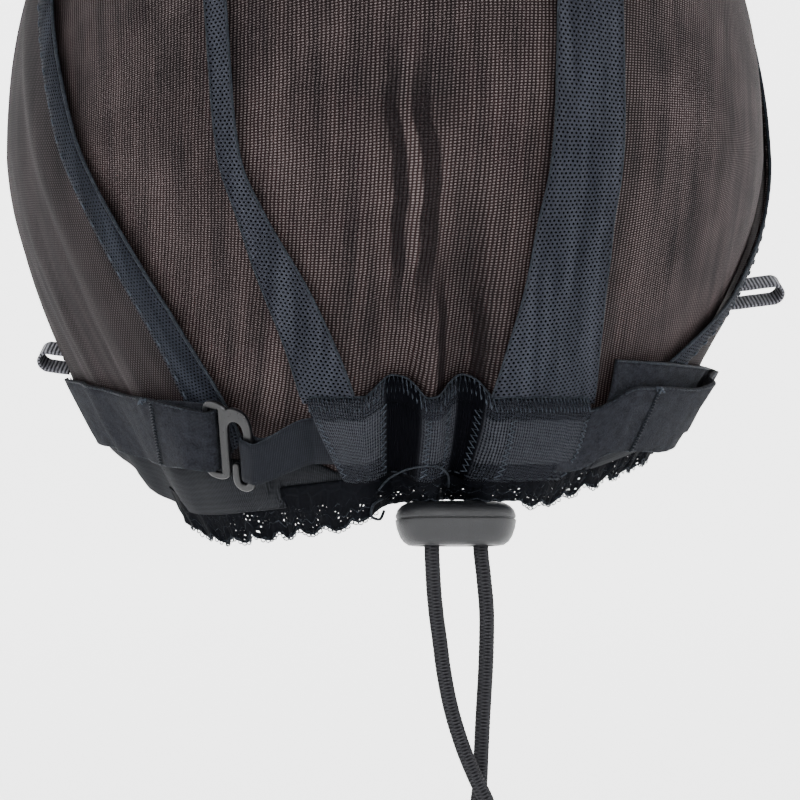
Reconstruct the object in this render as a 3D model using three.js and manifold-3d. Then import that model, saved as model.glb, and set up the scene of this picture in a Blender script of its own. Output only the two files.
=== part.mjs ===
// A sheer black wig cap, open below, with ribs and a gathered nape that a drawcord closes.
// Millimetres, +Z up. The crown's inner top is the origin, the nape faces +Y and the forehead -Y.
// An azimuth is an angle about Z from the nape: positive towards -X, negative towards +X.
import * as THREE from "three";
import { mergeVertices } from "three/addons/utils/BufferGeometryUtils.js";
import Module from "manifold-3d";

const wasm = await Module();
wasm.setup();

// The head form that the cap lies on
const halfBreadth = 75;
const backReach = 85;
const frontReach = 105;
const crownHeight = 85;
const napeDrop = 65;
const napeTuck = 0.335;
const napeCurve = 1.6;
const crownSquareness = 2.25;

// Cloth, tape and the gaps between layers
const netWall = 1.0;
const gap = 0.5;
const ribWall = 0.8;
const tapeWall = 0.6;
const strapWall = 0.8;
const bandWall = 0.9;
const laceWall = 0.8;

// Nape casing and the woven tape in it
const casingRise = 17;
const casingHeight = 15;
const casingRoom = 2.4;
const casingWall = 0.9;
const casingStart = -18.7;
const casingStartSlant = 4.8;
const casingEnd = 24.6;
const casingPleatLift = 4.5;
const tapeWidth = 8;
const tapeEnd = 19;

// Straps and side band
const strapWidth = 12.6;
const strapTackLeft = -47;
const bandWidth = 12;
const bandStart = 28.4;
const bandEnd = 100;

// Strap hook: a frame with a closed slot and an open, hooked leg
const hookThickness = 1.2;
const hookBar = 1.3;
const hookLeg = 1.8;
const hookHeight = 17.2;
const hookSlotWidth = 2.0;
const hookSlotHeight = 12.8;
const hookGap = 3.3;
const hookTipRise = 5.6;
const hookJawRadius = 2.3;
const hookAzimuth = -32.3;
const hookRise = 8.6;
const hookLean = 9;
const hookRoll = 10;

// Hem, lace and panel seam
const hemDepth = 4.5;
const hemThickness = 5.2;
const hemHalfSpan = 40;
const laceStart = -58;
const laceEnd = 62;
const laceScallops = 20;
const laceScallopDepth = 1.5;
const laceHole = 1.1;
const lapWidth = 6;

// Ribbon loops at the sides
const loopWidth = 4.2;
const loopLengthLeft = 4.4;
const loopLengthRight = 11.6;
const loopGap = 4.2;
const loopWall = 0.6;
const loopRoot = 2;
const loopRiseLeft = 25.4;
const loopRiseRight = 38.3;

// Drawcord, lock and knot
const cordDiameter = 2.8;
const cordClearance = 0.5;
const lockWidth = 22.8;
const lockDepth = 12;
const lockHeight = 8.2;
const lockRound = 3.2;
const lockTilt = 6;
const lockMouth = 4.9;
const cordSpacing = 9.4;
const lockX = -6.1;
const lockDrop = 1.7;
const knotRadius = 3.6;
const knotHeight = 7;
const tailLength = 9;

const crownCentre = -crownHeight;
const onNet = netWall + gap;

const capHeight = crownHeight + napeDrop;
const casingTop = casingRise - capHeight;
const hookLevel = hookRise - capHeight;
const lockTopZ = -capHeight - lockDrop;

// Lowest edge of the cap round the head: azimuth, and drop below the crown as a share of capHeight
const RIM = [
  { azimuth: -180, drop: 0.4 },
  { azimuth: -152, drop: 0.425 },
  { azimuth: -134, drop: 0.56 },
  { azimuth: -120, drop: 0.74 },
  { azimuth: -106, drop: 0.86 },
  { azimuth: -92, drop: 0.925 },
  { azimuth: -80, drop: 0.965 },
  { azimuth: -66, drop: 1.01 },
  { azimuth: -50, drop: 1.028 },
  { azimuth: -34, drop: 1.022 },
  { azimuth: -16, drop: 1.008 },
  { azimuth: 0, drop: 0.993 },
  { azimuth: 18, drop: 0.992 },
  { azimuth: 34, drop: 0.967 },
  { azimuth: 50, drop: 0.942 },
  { azimuth: 66, drop: 0.935 },
  { azimuth: 82, drop: 0.915 },
  { azimuth: 98, drop: 0.886 },
  { azimuth: 112, drop: 0.82 },
  { azimuth: 124, drop: 0.7 },
  { azimuth: 136, drop: 0.54 },
  { azimuth: 152, drop: 0.425 },
  { azimuth: 180, drop: 0.4 },
];

// Gathers and dents of the net: azimuth at the hem and at the top, half width in degrees,
// depth inwards in mm, and how far up it reaches as a share of the nape's drop
const FOLDS = [
  { hem: -5.5, top: -7, width: 3.5, depth: 4.6, reach: 1.25 },
  { hem: 6.4, top: -0.4, width: 3.2, depth: 4.8, reach: 1.35 },
  { hem: -14, top: -16, width: 5.5, depth: -1.4, reach: 0.9 },
  { hem: 0.2, top: -3, width: 2.0, depth: -0.8, reach: 1.1 },
  { hem: 17, top: 14, width: 9.0, depth: -1.8, reach: 0.9 },
  { hem: -31, top: -34, width: 4.5, depth: 1.2, reach: 1.3 },
  { hem: -62, top: -72, width: 5.0, depth: 1.5, reach: 1.2 },
  { hem: -76, top: -86, width: 4.5, depth: 1.4, reach: 1.1 },
  { hem: 62, top: 72, width: 7.0, depth: 1.3, reach: 1.0 },
];

// Where the ear-to-ear seam runs, seen from the side: height as a share of the cap's height,
// and how far behind the crown it lies on the left and on the right, as shares of the back reach
const SEAM = [
  { drop: 1.1, left: 0.53, right: 0.52 },
  { drop: 0.98, left: 0.58, right: 0.57 },
  { drop: 0.88, left: 0.64, right: 0.62 },
  { drop: 0.82, left: 0.66, right: 0.56 },
  { drop: 0.76, left: 0.66, right: 0.44 },
  { drop: 0.68, left: 0.64, right: 0.3 },
  { drop: 0.59, left: 0.59, right: 0.19 },
  { drop: 0.46, left: 0.49, right: 0.1 },
  { drop: 0.32, left: 0.35, right: 0.03 },
  { drop: 0.18, left: 0.19, right: -0.02 },
  { drop: 0.06, left: 0.04, right: -0.05 },
  { drop: -0.1, left: -0.06, right: -0.06 },
];

// The ribs' edges as angles from the middle plane, at steps from the casing over the crown
const RIBS = {
  rib_left: [
    { rise: -50, from: 11.5, to: 3.7 },
    { rise: -39, from: 15.3, to: 8.3 },
    { rise: -30, from: 18.6, to: 11.9 },
    { rise: -21, from: 22.4, to: 16.3 },
    { rise: -12, from: 25.4, to: 21.6 },
    { rise: -4, from: 27.7, to: 24.8 },
    { rise: 14, from: 28.8, to: 26 },
    { rise: 40, from: 28.6, to: 25.8 },
    { rise: 66, from: 27.6, to: 24.8 },
    { rise: 92, from: 26.6, to: 23.8 },
  ],
  rib_right: [
    { rise: -50, from: -4.8, to: -20.8 },
    { rise: -39, from: -6.3, to: -21 },
    { rise: -30, from: -7.9, to: -21 },
    { rise: -21, from: -9.8, to: -21.2 },
    { rise: -12, from: -11, to: -21.5 },
    { rise: -4, from: -12.3, to: -22.1 },
    { rise: 14, from: -13, to: -22 },
    { rise: 40, from: -14, to: -21.5 },
    { rise: 66, from: -15, to: -21 },
    { rise: 92, from: -16, to: -21 },
  ],
};

// Middle of the straps and the side band along their azimuths: drop below the crown as a share of
// capHeight, and how far the slack strap's lower and upper edges stand off
const STRAP_LEFT = [
  { azimuth: -98, drop: 0.899 },
  { azimuth: -86, drop: 0.903 },
  { azimuth: -76, drop: 0.907 },
  { azimuth: -60, drop: 0.92 },
  { azimuth: -47, drop: 0.927 },
];
const STRAP_RIGHT = [
  { azimuth: 26, drop: 0.917, low: 0, high: 0 },
  { azimuth: 36, drop: 0.91, low: 0.4, high: 1.0 },
  { azimuth: 47, drop: 0.912, low: 0.6, high: 1.8 },
  { azimuth: 60, drop: 0.899, low: 0.4, high: 1.4 },
  { azimuth: 70, drop: 0.89, low: 0.1, high: 0.5 },
  { azimuth: 84, drop: 0.884, low: 0, high: 0 },
  { azimuth: 94, drop: 0.879, low: 0, high: 0 },
  { azimuth: 102, drop: 0.875, low: 0, high: 0 },
];
const BAND = [
  { azimuth: 28, drop: 0.877 },
  { azimuth: 37, drop: 0.88 },
  { azimuth: 60, drop: 0.885 },
  { azimuth: 102, drop: 0.879 },
];

const radians = THREE.MathUtils.degToRad;
const degrees = THREE.MathUtils.radToDeg;
const smooth = (x) => THREE.MathUtils.smoothstep(x, 0, 1);

// Value of a table's column at a key, joined smoothly between rows
function along(rows, key, column, at) {
  const rising = rows[rows.length - 1][key] > rows[0][key];
  const sorted = rising ? rows : [...rows].reverse();
  const last = sorted.length - 1;
  const clamped = THREE.MathUtils.clamp(at, sorted[0][key], sorted[last][key]);
  let i = 0;
  while (i < last - 1 && clamped > sorted[i + 1][key]) i += 1;
  const pick = (k) => sorted[THREE.MathUtils.clamp(k, 0, last)];
  const [a, b, c, d] = [pick(i - 1), pick(i), pick(i + 1), pick(i + 2)];
  const span = c[key] - b[key];
  const t = (clamped - b[key]) / span;
  const slope = (p, q) => (q[key] === p[key] ? 0 : (span * (q[column] - p[column])) / (q[key] - p[key]));
  const m0 = slope(a, c);
  const m1 = slope(b, d);
  const t2 = t * t;
  const t3 = t2 * t;
  const values = (2 * t3 - 3 * t2 + 1) * b[column] + (3 * t2 - 2 * t3) * c[column];
  return values + (t3 - 2 * t2 + t) * m0 + (t3 - t2) * m1;
}

const rimZ = (azimuth) => -capHeight * along(RIM, "azimuth", "drop", azimuth);

// How deep the net is folded inwards at a place on the head
function foldDepth(azimuth, z) {
  const up = (z + capHeight) / napeDrop;
  let depth = 0;
  for (const fold of FOLDS) {
    const fade = 1 - smooth(up / fold.reach);
    const middle = THREE.MathUtils.lerp(fold.hem, fold.top, THREE.MathUtils.clamp(up, 0, 1));
    const away = Math.abs(azimuth - middle) / fold.width;
    depth += fold.depth * fade * Math.exp(-(away ** 2.6));
  }
  return depth;
}

// Size of the head's level section at a height, as a share of its widest
function sectionShare(z) {
  const above = z - crownCentre;
  if (above <= 0) return 1 - napeTuck * (-above / napeDrop) ** napeCurve;
  return Math.max(0, 1 - (above / crownHeight) ** crownSquareness) ** (1 / crownSquareness);
}

// Outward direction of the plain head form at a point on it
function outward(point) {
  const reach = point.y >= 0 ? backReach : frontReach;
  const above = point.z - crownCentre;
  const q = Math.max(Math.hypot(point.x / halfBreadth, point.y / reach), 1e-6);
  const level = new THREE.Vector3(point.x / halfBreadth ** 2, point.y / reach ** 2, 0);
  if (above <= 0) {
    const fall = ((napeCurve * napeTuck) / napeDrop) * (-above / napeDrop) ** (napeCurve - 1);
    return level.divideScalar(q).setZ(-fall).normalize();
  }
  level.multiplyScalar(q ** (crownSquareness - 2));
  return level.setZ(above ** (crownSquareness - 1) / crownHeight ** crownSquareness).normalize();
}

// A point of the plain head form, moved out by lift and in by the folds.
// Below the widest level it stays at its height
function lifted(point, lift) {
  const azimuth = degrees(Math.atan2(-point.x, point.y));
  const out = outward(point);
  if (point.z < crownCentre) out.setZ(0).divideScalar(out.lengthSq());
  return point.clone().addScaledVector(out, lift - foldDepth(azimuth, point.z));
}

function plainPoint(azimuth, z) {
  const angle = radians(azimuth);
  const reach = Math.cos(angle) >= 0 ? backReach : frontReach;
  const unit = Math.hypot(Math.sin(angle) / halfBreadth, Math.cos(angle) / reach);
  const radius = sectionShare(z) / unit;
  return new THREE.Vector3(-radius * Math.sin(angle), radius * Math.cos(angle), z);
}

const headPoint = (azimuth, z, lift) => lifted(plainPoint(azimuth, z), lift);

// A place given by its angle from the middle plane and its rise from the nape over the crown
function crownPoint(side, rise, lift) {
  const [s, r] = [radians(side), radians(rise)];
  const ray = new THREE.Vector3(Math.sin(s), Math.cos(s) * Math.cos(r), Math.cos(s) * Math.sin(r));
  const reach = ray.y >= 0 ? backReach : frontReach;
  const q = Math.hypot(ray.x / halfBreadth, ray.y / reach);
  let far;
  if (ray.z > 0) {
    far = (q ** crownSquareness + (ray.z / crownHeight) ** crownSquareness) ** (-1 / crownSquareness);
  } else {
    let [near, beyond] = [0, 2 / q];
    for (let i = 0; i < 40; i += 1) {
      far = (near + beyond) / 2;
      if (q * far > sectionShare(crownCentre + ray.z * far)) beyond = far;
      else near = far;
    }
  }
  return lifted(ray.multiplyScalar(far).add(new THREE.Vector3(0, 0, crownCentre)), lift);
}

// Six times the volume that faces close round
function volumeOf(positions, index) {
  const corner = (i) => new THREE.Vector3().fromArray(positions, index[i] * 3);
  let sum = 0;
  for (let i = 0; i < index.length; i += 3) sum += corner(i).dot(corner(i + 1).cross(corner(i + 2)));
  return sum;
}

// A closed geometry from points and faces, with doubled points merged and empty faces left out
function closedGeometry(points, faces) {
  const positions = new Float32Array(points.flatMap((p) => [p.x, p.y, p.z]));
  const loose = new THREE.BufferGeometry();
  loose.setAttribute("position", new THREE.BufferAttribute(positions, 3));
  loose.setIndex(faces.flat());
  const merged = mergeVertices(loose, 1e-3);
  const index = merged.index.array;
  const kept = [];
  for (let i = 0; i < index.length; i += 3) {
    const [a, b, c] = [index[i], index[i + 1], index[i + 2]];
    if (a !== b && b !== c && c !== a) kept.push(a, b, c);
  }
  merged.setIndex(volumeOf(merged.attributes.position.array, kept) < 0 ? kept.reverse() : kept);
  return merged;
}

// A sheet with two sides and four edges.
// place(row, column, side) gives each point, side 0 inside and 1 outside
function sheetGeometry(rows, columns, place, ring = false) {
  const points = [];
  const faces = [];
  const at = (i, j, side) => (side * rows + i) * columns + (ring ? j % columns : j);
  for (const side of [0, 1]) {
    for (let i = 0; i < rows; i += 1) {
      for (let j = 0; j < columns; j += 1) points.push(place(i, j, side));
    }
  }
  const quad = (a, b, c, d) => faces.push([a, b, c], [a, c, d]);
  const last = ring ? columns : columns - 1;
  for (let i = 0; i < rows - 1; i += 1) {
    for (let j = 0; j < last; j += 1) {
      quad(at(i, j, 1), at(i, j + 1, 1), at(i + 1, j + 1, 1), at(i + 1, j, 1));
      quad(at(i, j, 0), at(i + 1, j, 0), at(i + 1, j + 1, 0), at(i, j + 1, 0));
    }
    if (!ring) {
      quad(at(i, 0, 0), at(i, 0, 1), at(i + 1, 0, 1), at(i + 1, 0, 0));
      quad(at(i, last, 1), at(i, last, 0), at(i + 1, last, 0), at(i + 1, last, 1));
    }
  }
  for (let j = 0; j < last; j += 1) {
    quad(at(0, j, 0), at(0, j + 1, 0), at(0, j + 1, 1), at(0, j, 1));
    quad(at(rows - 1, j, 1), at(rows - 1, j + 1, 1), at(rows - 1, j + 1, 0), at(rows - 1, j, 0));
  }
  return closedGeometry(points, faces);
}

// A bar whose section, a list of 2-D points, is set out ring by ring.
// place(ring, point) gives each corner
function barGeometry(rings, section, place) {
  const points = [];
  const faces = [];
  const n = section.length;
  for (let i = 0; i < rings; i += 1) section.forEach((corner) => points.push(place(i, corner)));
  for (let i = 0; i < rings - 1; i += 1) {
    for (let k = 0; k < n; k += 1) {
      const [a, b] = [i * n + k, i * n + ((k + 1) % n)];
      faces.push([a, b, b + n], [a, b + n, a + n]);
    }
  }
  const end = (rings - 1) * n;
  for (const [a, b, c] of THREE.ShapeUtils.triangulateShape(section, [])) {
    faces.push([a, c, b], [end + a, end + b, end + c]);
  }
  return closedGeometry(points, faces);
}

// Solids for joining and cutting
function solid(geometry) {
  const bare = geometry.index ? geometry.toNonIndexed() : geometry.clone();
  for (const name of Object.keys(bare.attributes)) if (name !== "position") bare.deleteAttribute(name);
  const merged = mergeVertices(bare, 1e-3);
  const mesh = new wasm.Mesh({
    numProp: 3,
    vertProperties: merged.attributes.position.array,
    triVerts: new Uint32Array(merged.index.array),
  });
  const made = new wasm.Manifold(mesh);
  if (made.volume() >= 0) return made;
  mesh.triVerts = mesh.triVerts.slice().reverse();
  return new wasm.Manifold(mesh);
}

function geometryOf(made) {
  const largest = made.decompose().sort((a, b) => b.volume() - a.volume())[0];
  const mesh = largest.getMesh();
  const stride = mesh.numProp;
  const positions = new Float32Array(mesh.numVert * 3);
  for (let i = 0; i < mesh.numVert; i += 1) {
    positions.set(mesh.vertProperties.subarray(i * stride, i * stride + 3), i * 3);
  }
  const geometry = new THREE.BufferGeometry();
  geometry.setAttribute("position", new THREE.BufferAttribute(positions, 3));
  geometry.setIndex([...mesh.triVerts]);
  return geometry;
}

// Finishes, as three.js materials
function finish(colour, roughness, metalness = 0) {
  return new THREE.MeshStandardMaterial({ color: colour, roughness, metalness });
}
const finishes = {
  net: finish(0x1a191b, 0.85),
  ribNet: finish(0x17191f, 0.85),
  casingNet: finish(0x1b1e24, 0.85),
  tape: finish(0x232428, 0.6),
  elastic: finish(0x16171b, 0.9),
  lace: finish(0x0f1013, 0.85),
  hook: finish(0x17181a, 0.35, 0.7),
  lock: finish(0x26282b, 0.5),
  cord: finish(0x141416, 0.8),
  grosgrain: finish(0x222327, 0.6),
};

const cap = new THREE.Group();
function add(name, geometry, material) {
  const mesh = new THREE.Mesh(geometry, material);
  mesh.name = name;
  cap.add(mesh);
  return mesh;
}

// Azimuths at which every layer has an edge of its mesh, closer together where the nape is gathered
function steps(from, to, step) {
  const count = Math.max(1, Math.round(Math.abs(to - from) / step));
  return Array.from({ length: count + 1 }, (_, i) => THREE.MathUtils.lerp(from, to, i / count));
}
const half = [
  ...steps(0, 13.2, 1.2),
  ...steps(13.2, 50.4, 3.1).slice(1),
  ...steps(50.4, 98.4, 6).slice(1),
  ...steps(98.4, 180, 13.6).slice(1),
];
const meridians = [...half.slice(1, -1).map((a) => -a).reverse(), ...half];
function between(from, to) {
  return [from, ...meridians.filter((a) => a > from + 0.5 && a < to - 0.5), to];
}

// Heights on one meridian, from the rim to the crown, with closer steps at the hem
const crownSteps = 11;
function meridian(azimuth) {
  const rim = rimZ(azimuth);
  const start = Math.min(rim + hemDepth + 2, -gap);
  const below = (start - crownCentre) / napeDrop;
  const share = start < crownCentre ? below : degrees(Math.asin(start / crownHeight + 1)) / 90;
  const heights = [rim, rim + hemDepth / 2, rim + hemDepth];
  for (let i = 0; i <= crownSteps; i += 1) {
    const t = THREE.MathUtils.lerp(share, 1, i / crownSteps);
    const rise = t < 0 ? napeDrop * t : crownHeight * Math.sin((t * Math.PI) / 2);
    heights.push(crownCentre + rise);
  }
  return heights;
}

// A whole dome between two lifts, from which the panels are cut
function domeGeometry(azimuths, innerLift, outerLift) {
  const heights = azimuths.map(meridian);
  const place = (i, j, side) => {
    const [azimuth, z] = [azimuths[j], heights[j][i]];
    return headPoint(azimuth, z, side ? outerLift(azimuth, z) : innerLift(azimuth, z));
  };
  return sheetGeometry(heights[0].length, azimuths.length, place, true);
}

// How far behind the crown the seam lies, at a side and a height
const seamBlend = halfBreadth * 0.6;
function seamY(x, z) {
  const drop = -z / capHeight;
  const left = along(SEAM, "drop", "left", drop);
  const right = along(SEAM, "drop", "right", drop);
  const share = THREE.MathUtils.clamp(x / seamBlend / 2 + 0.5, 0, 1);
  return backReach * THREE.MathUtils.lerp(right, left, share);
}

// Everything in front of the seam, moved back by shift
function frontOfSeam(shift) {
  const far = 3 * capHeight;
  const heights = SEAM.map((row) => -capHeight * row.drop);
  const sides = [-far, -seamBlend, -seamBlend / 3, seamBlend / 3, seamBlend, far];
  const geometry = sheetGeometry(heights.length, sides.length, (i, j, side) => {
    const reach = side ? -far : seamY(sides[j], heights[i]) + shift;
    return new THREE.Vector3(sides[j], reach, heights[i]);
  });
  return solid(geometry);
}

// The turned hem that the drawcord runs in thickens the net inwards across the nape
function hemLift(azimuth, z) {
  const across = 1 - smooth((Math.abs(azimuth) - hemHalfSpan + 12) / 12);
  const up = 1 - smooth((z - rimZ(azimuth) - hemDepth + 0.5) / 2);
  return -(hemThickness - netWall) * across * up;
}

// How far in front of the front panel's edge a place lies
function aheadOfSeam(azimuth, z) {
  const point = plainPoint(azimuth, z);
  return seamY(point.x, point.z) - point.y;
}

// The lap lifts the front panel over the back panel's edge
function lapLift(azimuth, z) {
  return (onNet + 0.1) * (1 - smooth((aheadOfSeam(azimuth, z) - lapWidth - 8) / 9));
}

// Lift that clears the panels anywhere, stepping up over the front panel's edge
function clear(azimuth, z) {
  return onNet + lapLift(azimuth, z) * smooth((aheadOfSeam(azimuth, z) + 9) / 5.5);
}

// Place of the cord lock, below the hem's two cord mouths
const hemMiddle = netWall - hemThickness / 2;
function inHem(x, up) {
  const azimuth = degrees(Math.asin(-x / 60));
  return headPoint(azimuth, rimZ(azimuth) + up, hemMiddle);
}
const hemLeft = [hemDepth - 1.6, 0].map((up) => inHem(lockX + cordSpacing / 2, up));
const hemRight = [hemDepth - 1.6, 0].map((up) => inHem(lockX - cordSpacing / 2, up));
const lockBack = (hemLeft[1].y + hemRight[1].y) / 2 - 0.5;
const lockMiddle = new THREE.Vector3(lockX, lockBack, lockTopZ - lockHeight / 2);
const lockTwist = Math.atan2(hemLeft[1].y - hemRight[1].y, cordSpacing);
const lockFrame = new THREE.Matrix4().makeRotationX(radians(lockTilt));
lockFrame.multiply(new THREE.Matrix4().makeRotationZ(lockTwist));
lockFrame.setPosition(lockMiddle);

// Drawcord strands, as hand-picked places: distance down the strand's fall, and to the side and back
// of the lock's middle. Side grows towards -X and out towards +Y
const STRANDS = [
  {
    name: "drawcord_left",
    side: -1,
    fall: [
      { down: 10.7, side: -4.4, out: 1.2 },
      { down: 16, side: -4.0, out: 1.6 },
      { down: 21.8, side: -3.3, out: 2.1 },
      { down: 27.5, side: -2.6, out: 2.6 },
      { down: 33.9, side: -1.4, out: 3.3 },
      { down: 40.4, side: 0.5, out: 4.0 },
      { down: 45.7, side: 2.6, out: 4.3 },
      { down: 50.4, side: 4.9, out: 4.0 },
      { down: 54, side: 6.5, out: 2.4 },
    ],
  },
  {
    name: "drawcord_right",
    side: 1,
    fall: [
      { down: 10, side: 5.0, out: 1.2 },
      { down: 16, side: 5.5, out: 1.3 },
      { down: 21.8, side: 5.5, out: 1.2 },
      { down: 27.8, side: 5.3, out: 1.1 },
      { down: 35.3, side: 4.9, out: 0.9 },
      { down: 42.2, side: 4.6, out: 0.7 },
      { down: 49, side: 4.3, out: 0.5 },
      { down: 54, side: 3.5, out: 0.4 },
    ],
  },
];
const knotMiddle = lockMiddle.clone().add(new THREE.Vector3(-5.1, 1.5, -54.6 - knotHeight / 2));

function strandPoints(strand) {
  const x = (-strand.side * cordSpacing) / 2;
  const inLock = (up) => new THREE.Vector3(x, 0, up).applyMatrix4(lockFrame);
  const into = strand.side < 0 ? hemLeft : hemRight;
  const through = [lockHeight / 2 - 0.6, 0, -lockHeight / 2 - 0.8].map(inLock);
  const drop = (p) => lockMiddle.clone().add(new THREE.Vector3(-p.side, p.out, -p.down));
  return [...into, ...through, ...strand.fall.map(drop)];
}

// A round cord along points
const cordSides = 8;
function cordGeometry(points, diameter, pieces, sides = cordSides) {
  const shape = new THREE.Shape();
  shape.absarc(0, 0, diameter / 2, 0, 2 * Math.PI);
  const path = new THREE.CatmullRomCurve3(points);
  const options = { steps: pieces, curveSegments: sides / 2, extrudePath: path, bevelEnabled: false };
  return new THREE.ExtrudeGeometry(shape, options);
}

function rod(from, to, diameter, sides = cordSides) {
  return solid(cordGeometry([from, to], diameter, 1, sides));
}
const boreDiameter = cordDiameter + 2 * cordClearance;
const mouths = STRANDS.map((strand) => {
  const [into, out] = strandPoints(strand);
  const run = out.clone().sub(into).normalize();
  const [start, end] = [into.clone().addScaledVector(run, -gap), out.clone().addScaledVector(run, 2)];
  return rod(start, end, boreDiameter);
});
const belowMouths = STRANDS.map((strand) => {
  const points = strandPoints(strand);
  return rod(points[1], points[2], boreDiameter, 12);
});

// Back panel: the sheer net from the seam round the nape, with the turned hem and its cord mouths
let backPanel = solid(domeGeometry(meridians, hemLift, () => netWall)).subtract(frontOfSeam(-lapWidth));
for (const mouth of mouths) backPanel = backPanel.subtract(mouth);
add("back_panel", geometryOf(backPanel), finishes.net);

// Front panel: the net from the seam over the crown to the hairline, lapped over the back panel
const lapOuter = (azimuth, z) => lapLift(azimuth, z) + netWall;
const frontPanel = solid(domeGeometry(meridians, lapLift, lapOuter)).intersect(frontOfSeam(0));
add("front_panel", geometryOf(frontPanel), finishes.net);

// Height of the casing's upper and lower edges, which rise where it is pleated inwards
const pleat = (azimuth) => THREE.MathUtils.clamp(foldDepth(azimuth, casingTop) / FOLDS[0].depth, 0, 1);
const casingTopZ = (azimuth) => casingTop + casingPleatLift * pleat(azimuth);
const casingLowZ = (azimuth) => casingTop - casingHeight + 1.5 * pleat(azimuth);

// A band round the head with a section, whose lower corners may lie further round by lowShift
function bandGeometry(from, to, section, lowZ, topZ, lowShift = () => 0) {
  const azimuths = between(from, to);
  const corners = section.map(([lift, up]) => new THREE.Vector2(lift, up));
  const z = (azimuth, c) => THREE.MathUtils.lerp(lowZ(azimuth), topZ(azimuth), c.y);
  const place = (i, c) => {
    const azimuth = azimuths[i] + lowShift(azimuths[i]) * (1 - c.y);
    const height = z(azimuth, c);
    return headPoint(azimuth, height, clear(azimuth, height) + c.x);
  };
  return barGeometry(azimuths.length, corners, place);
}

// Casing: a channel of mesh over the net, open at both ends, the left one slanting
const casingOuter = casingRoom + casingWall;
const flange = casingWall / casingHeight;
const channel = [
  [0, 0],
  [casingOuter, 0],
  [casingOuter, 1],
  [0, 1],
  [0, 1 - flange],
  [casingRoom, 1 - flange],
  [casingRoom, flange],
  [0, flange],
];
const slab = (inner, outer) => [
  [inner, 0],
  [outer, 0],
  [outer + 0.1, 0.5],
  [outer, 1],
  [inner, 1],
  [inner + 0.1, 0.5],
];
const casingSlant = (azimuth) => casingStartSlant * (1 - smooth((azimuth - casingStart) / 10));
const casingBounds = [casingStart, casingEnd, channel, casingLowZ, casingTopZ];
const casing = bandGeometry(...casingBounds, casingSlant);
add("nape_casing", casing, finishes.casingNet);

// Side band: elastic sewn flat on the net behind the right strap
const levelAt = (rows, azimuth) => -capHeight * along(rows, "azimuth", "drop", azimuth);
const bandLow = (azimuth) => levelAt(BAND, azimuth) - bandWidth / 2;
const bandHigh = (azimuth) => levelAt(BAND, azimuth) + bandWidth / 2;
const band = bandGeometry(bandStart, bandEnd, slab(0.15, bandWall + 0.15), bandLow, bandHigh);
add("side_band", band, finishes.elastic);

// Ribs: coarser mesh over the net, from the casing over the crown to the seam
const ribColumns = 8;
const ribRows = 17;
const casingLow = () => casingTop - casingHeight;
const casingHigh = (azimuth) => casingTopZ(azimuth) + gap;
const zone = slab(-3, casingOuter + 3);
const casingBlock = solid(bandGeometry(casingStart - 9, casingEnd + 9, zone, casingLow, casingHigh));
const beforeSeam = frontOfSeam(gap);
for (const [name, rows] of Object.entries(RIBS)) {
  const [first, last] = [rows[0].rise, rows[rows.length - 1].rise];
  const rises = steps(first, last, (last - first) / ribRows);
  const place = (i, j, side) => {
    const from = along(rows, "rise", "from", rises[i]);
    const to = along(rows, "rise", "to", rises[i]);
    const across = THREE.MathUtils.lerp(from, to, j / (ribColumns - 1));
    return crownPoint(across, rises[i], onNet + 0.5 + side * ribWall);
  };
  const whole = solid(sheetGeometry(rises.length, ribColumns, place));
  add(name, geometryOf(whole.subtract(casingBlock).subtract(beforeSeam)), finishes.ribNet);
}

// A flat tape along a path.
// Each step of the path gives its lower edge for -1, its middle for 0 and its upper edge for 1
function tapeGeometry(path, wall) {
  const corners = [[-1, -1], [1, -1], [1.05, 0], [1, 1], [-1, 1], [-0.95, 0]];
  const section = corners.map(([x, y]) => new THREE.Vector2(x, y));
  return barGeometry(path.length, section, (i, c) => {
    const run = path[Math.min(i + 1, path.length - 1)](0).sub(path[Math.max(i - 1, 0)](0));
    const out = run.cross(path[i](1).sub(path[i](-1))).normalize();
    return path[i](c.y).addScaledVector(out, (c.x * wall) / 2);
  });
}

// A step of a tape lying on the cap: its middle height, half width and the lifts of both edges
function onCap(azimuth, level, half, low, high = low) {
  return (side) => {
    const z = level + side * half;
    return headPoint(azimuth, z, clear(azimuth, z) + THREE.MathUtils.lerp(low, high, (side + 1) / 2));
  };
}

// Hook: a flat frame whose slot holds the strap and whose open leg holds the tape's loop
const slotLeft = -(hookSlotWidth + 2 * hookLeg + hookGap - hookBar) / 2;
const frameLeft = slotLeft - hookBar;
const middleLeft = slotLeft + hookSlotWidth;
const middleRight = middleLeft + hookLeg;
const legInner = middleRight + hookGap;
const legOuter = legInner + hookLeg;
const hookTop = hookHeight / 2;
const slotHigh = hookTop - hookBar - 0.2;
const slotLow = slotHigh - hookSlotHeight;

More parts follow.
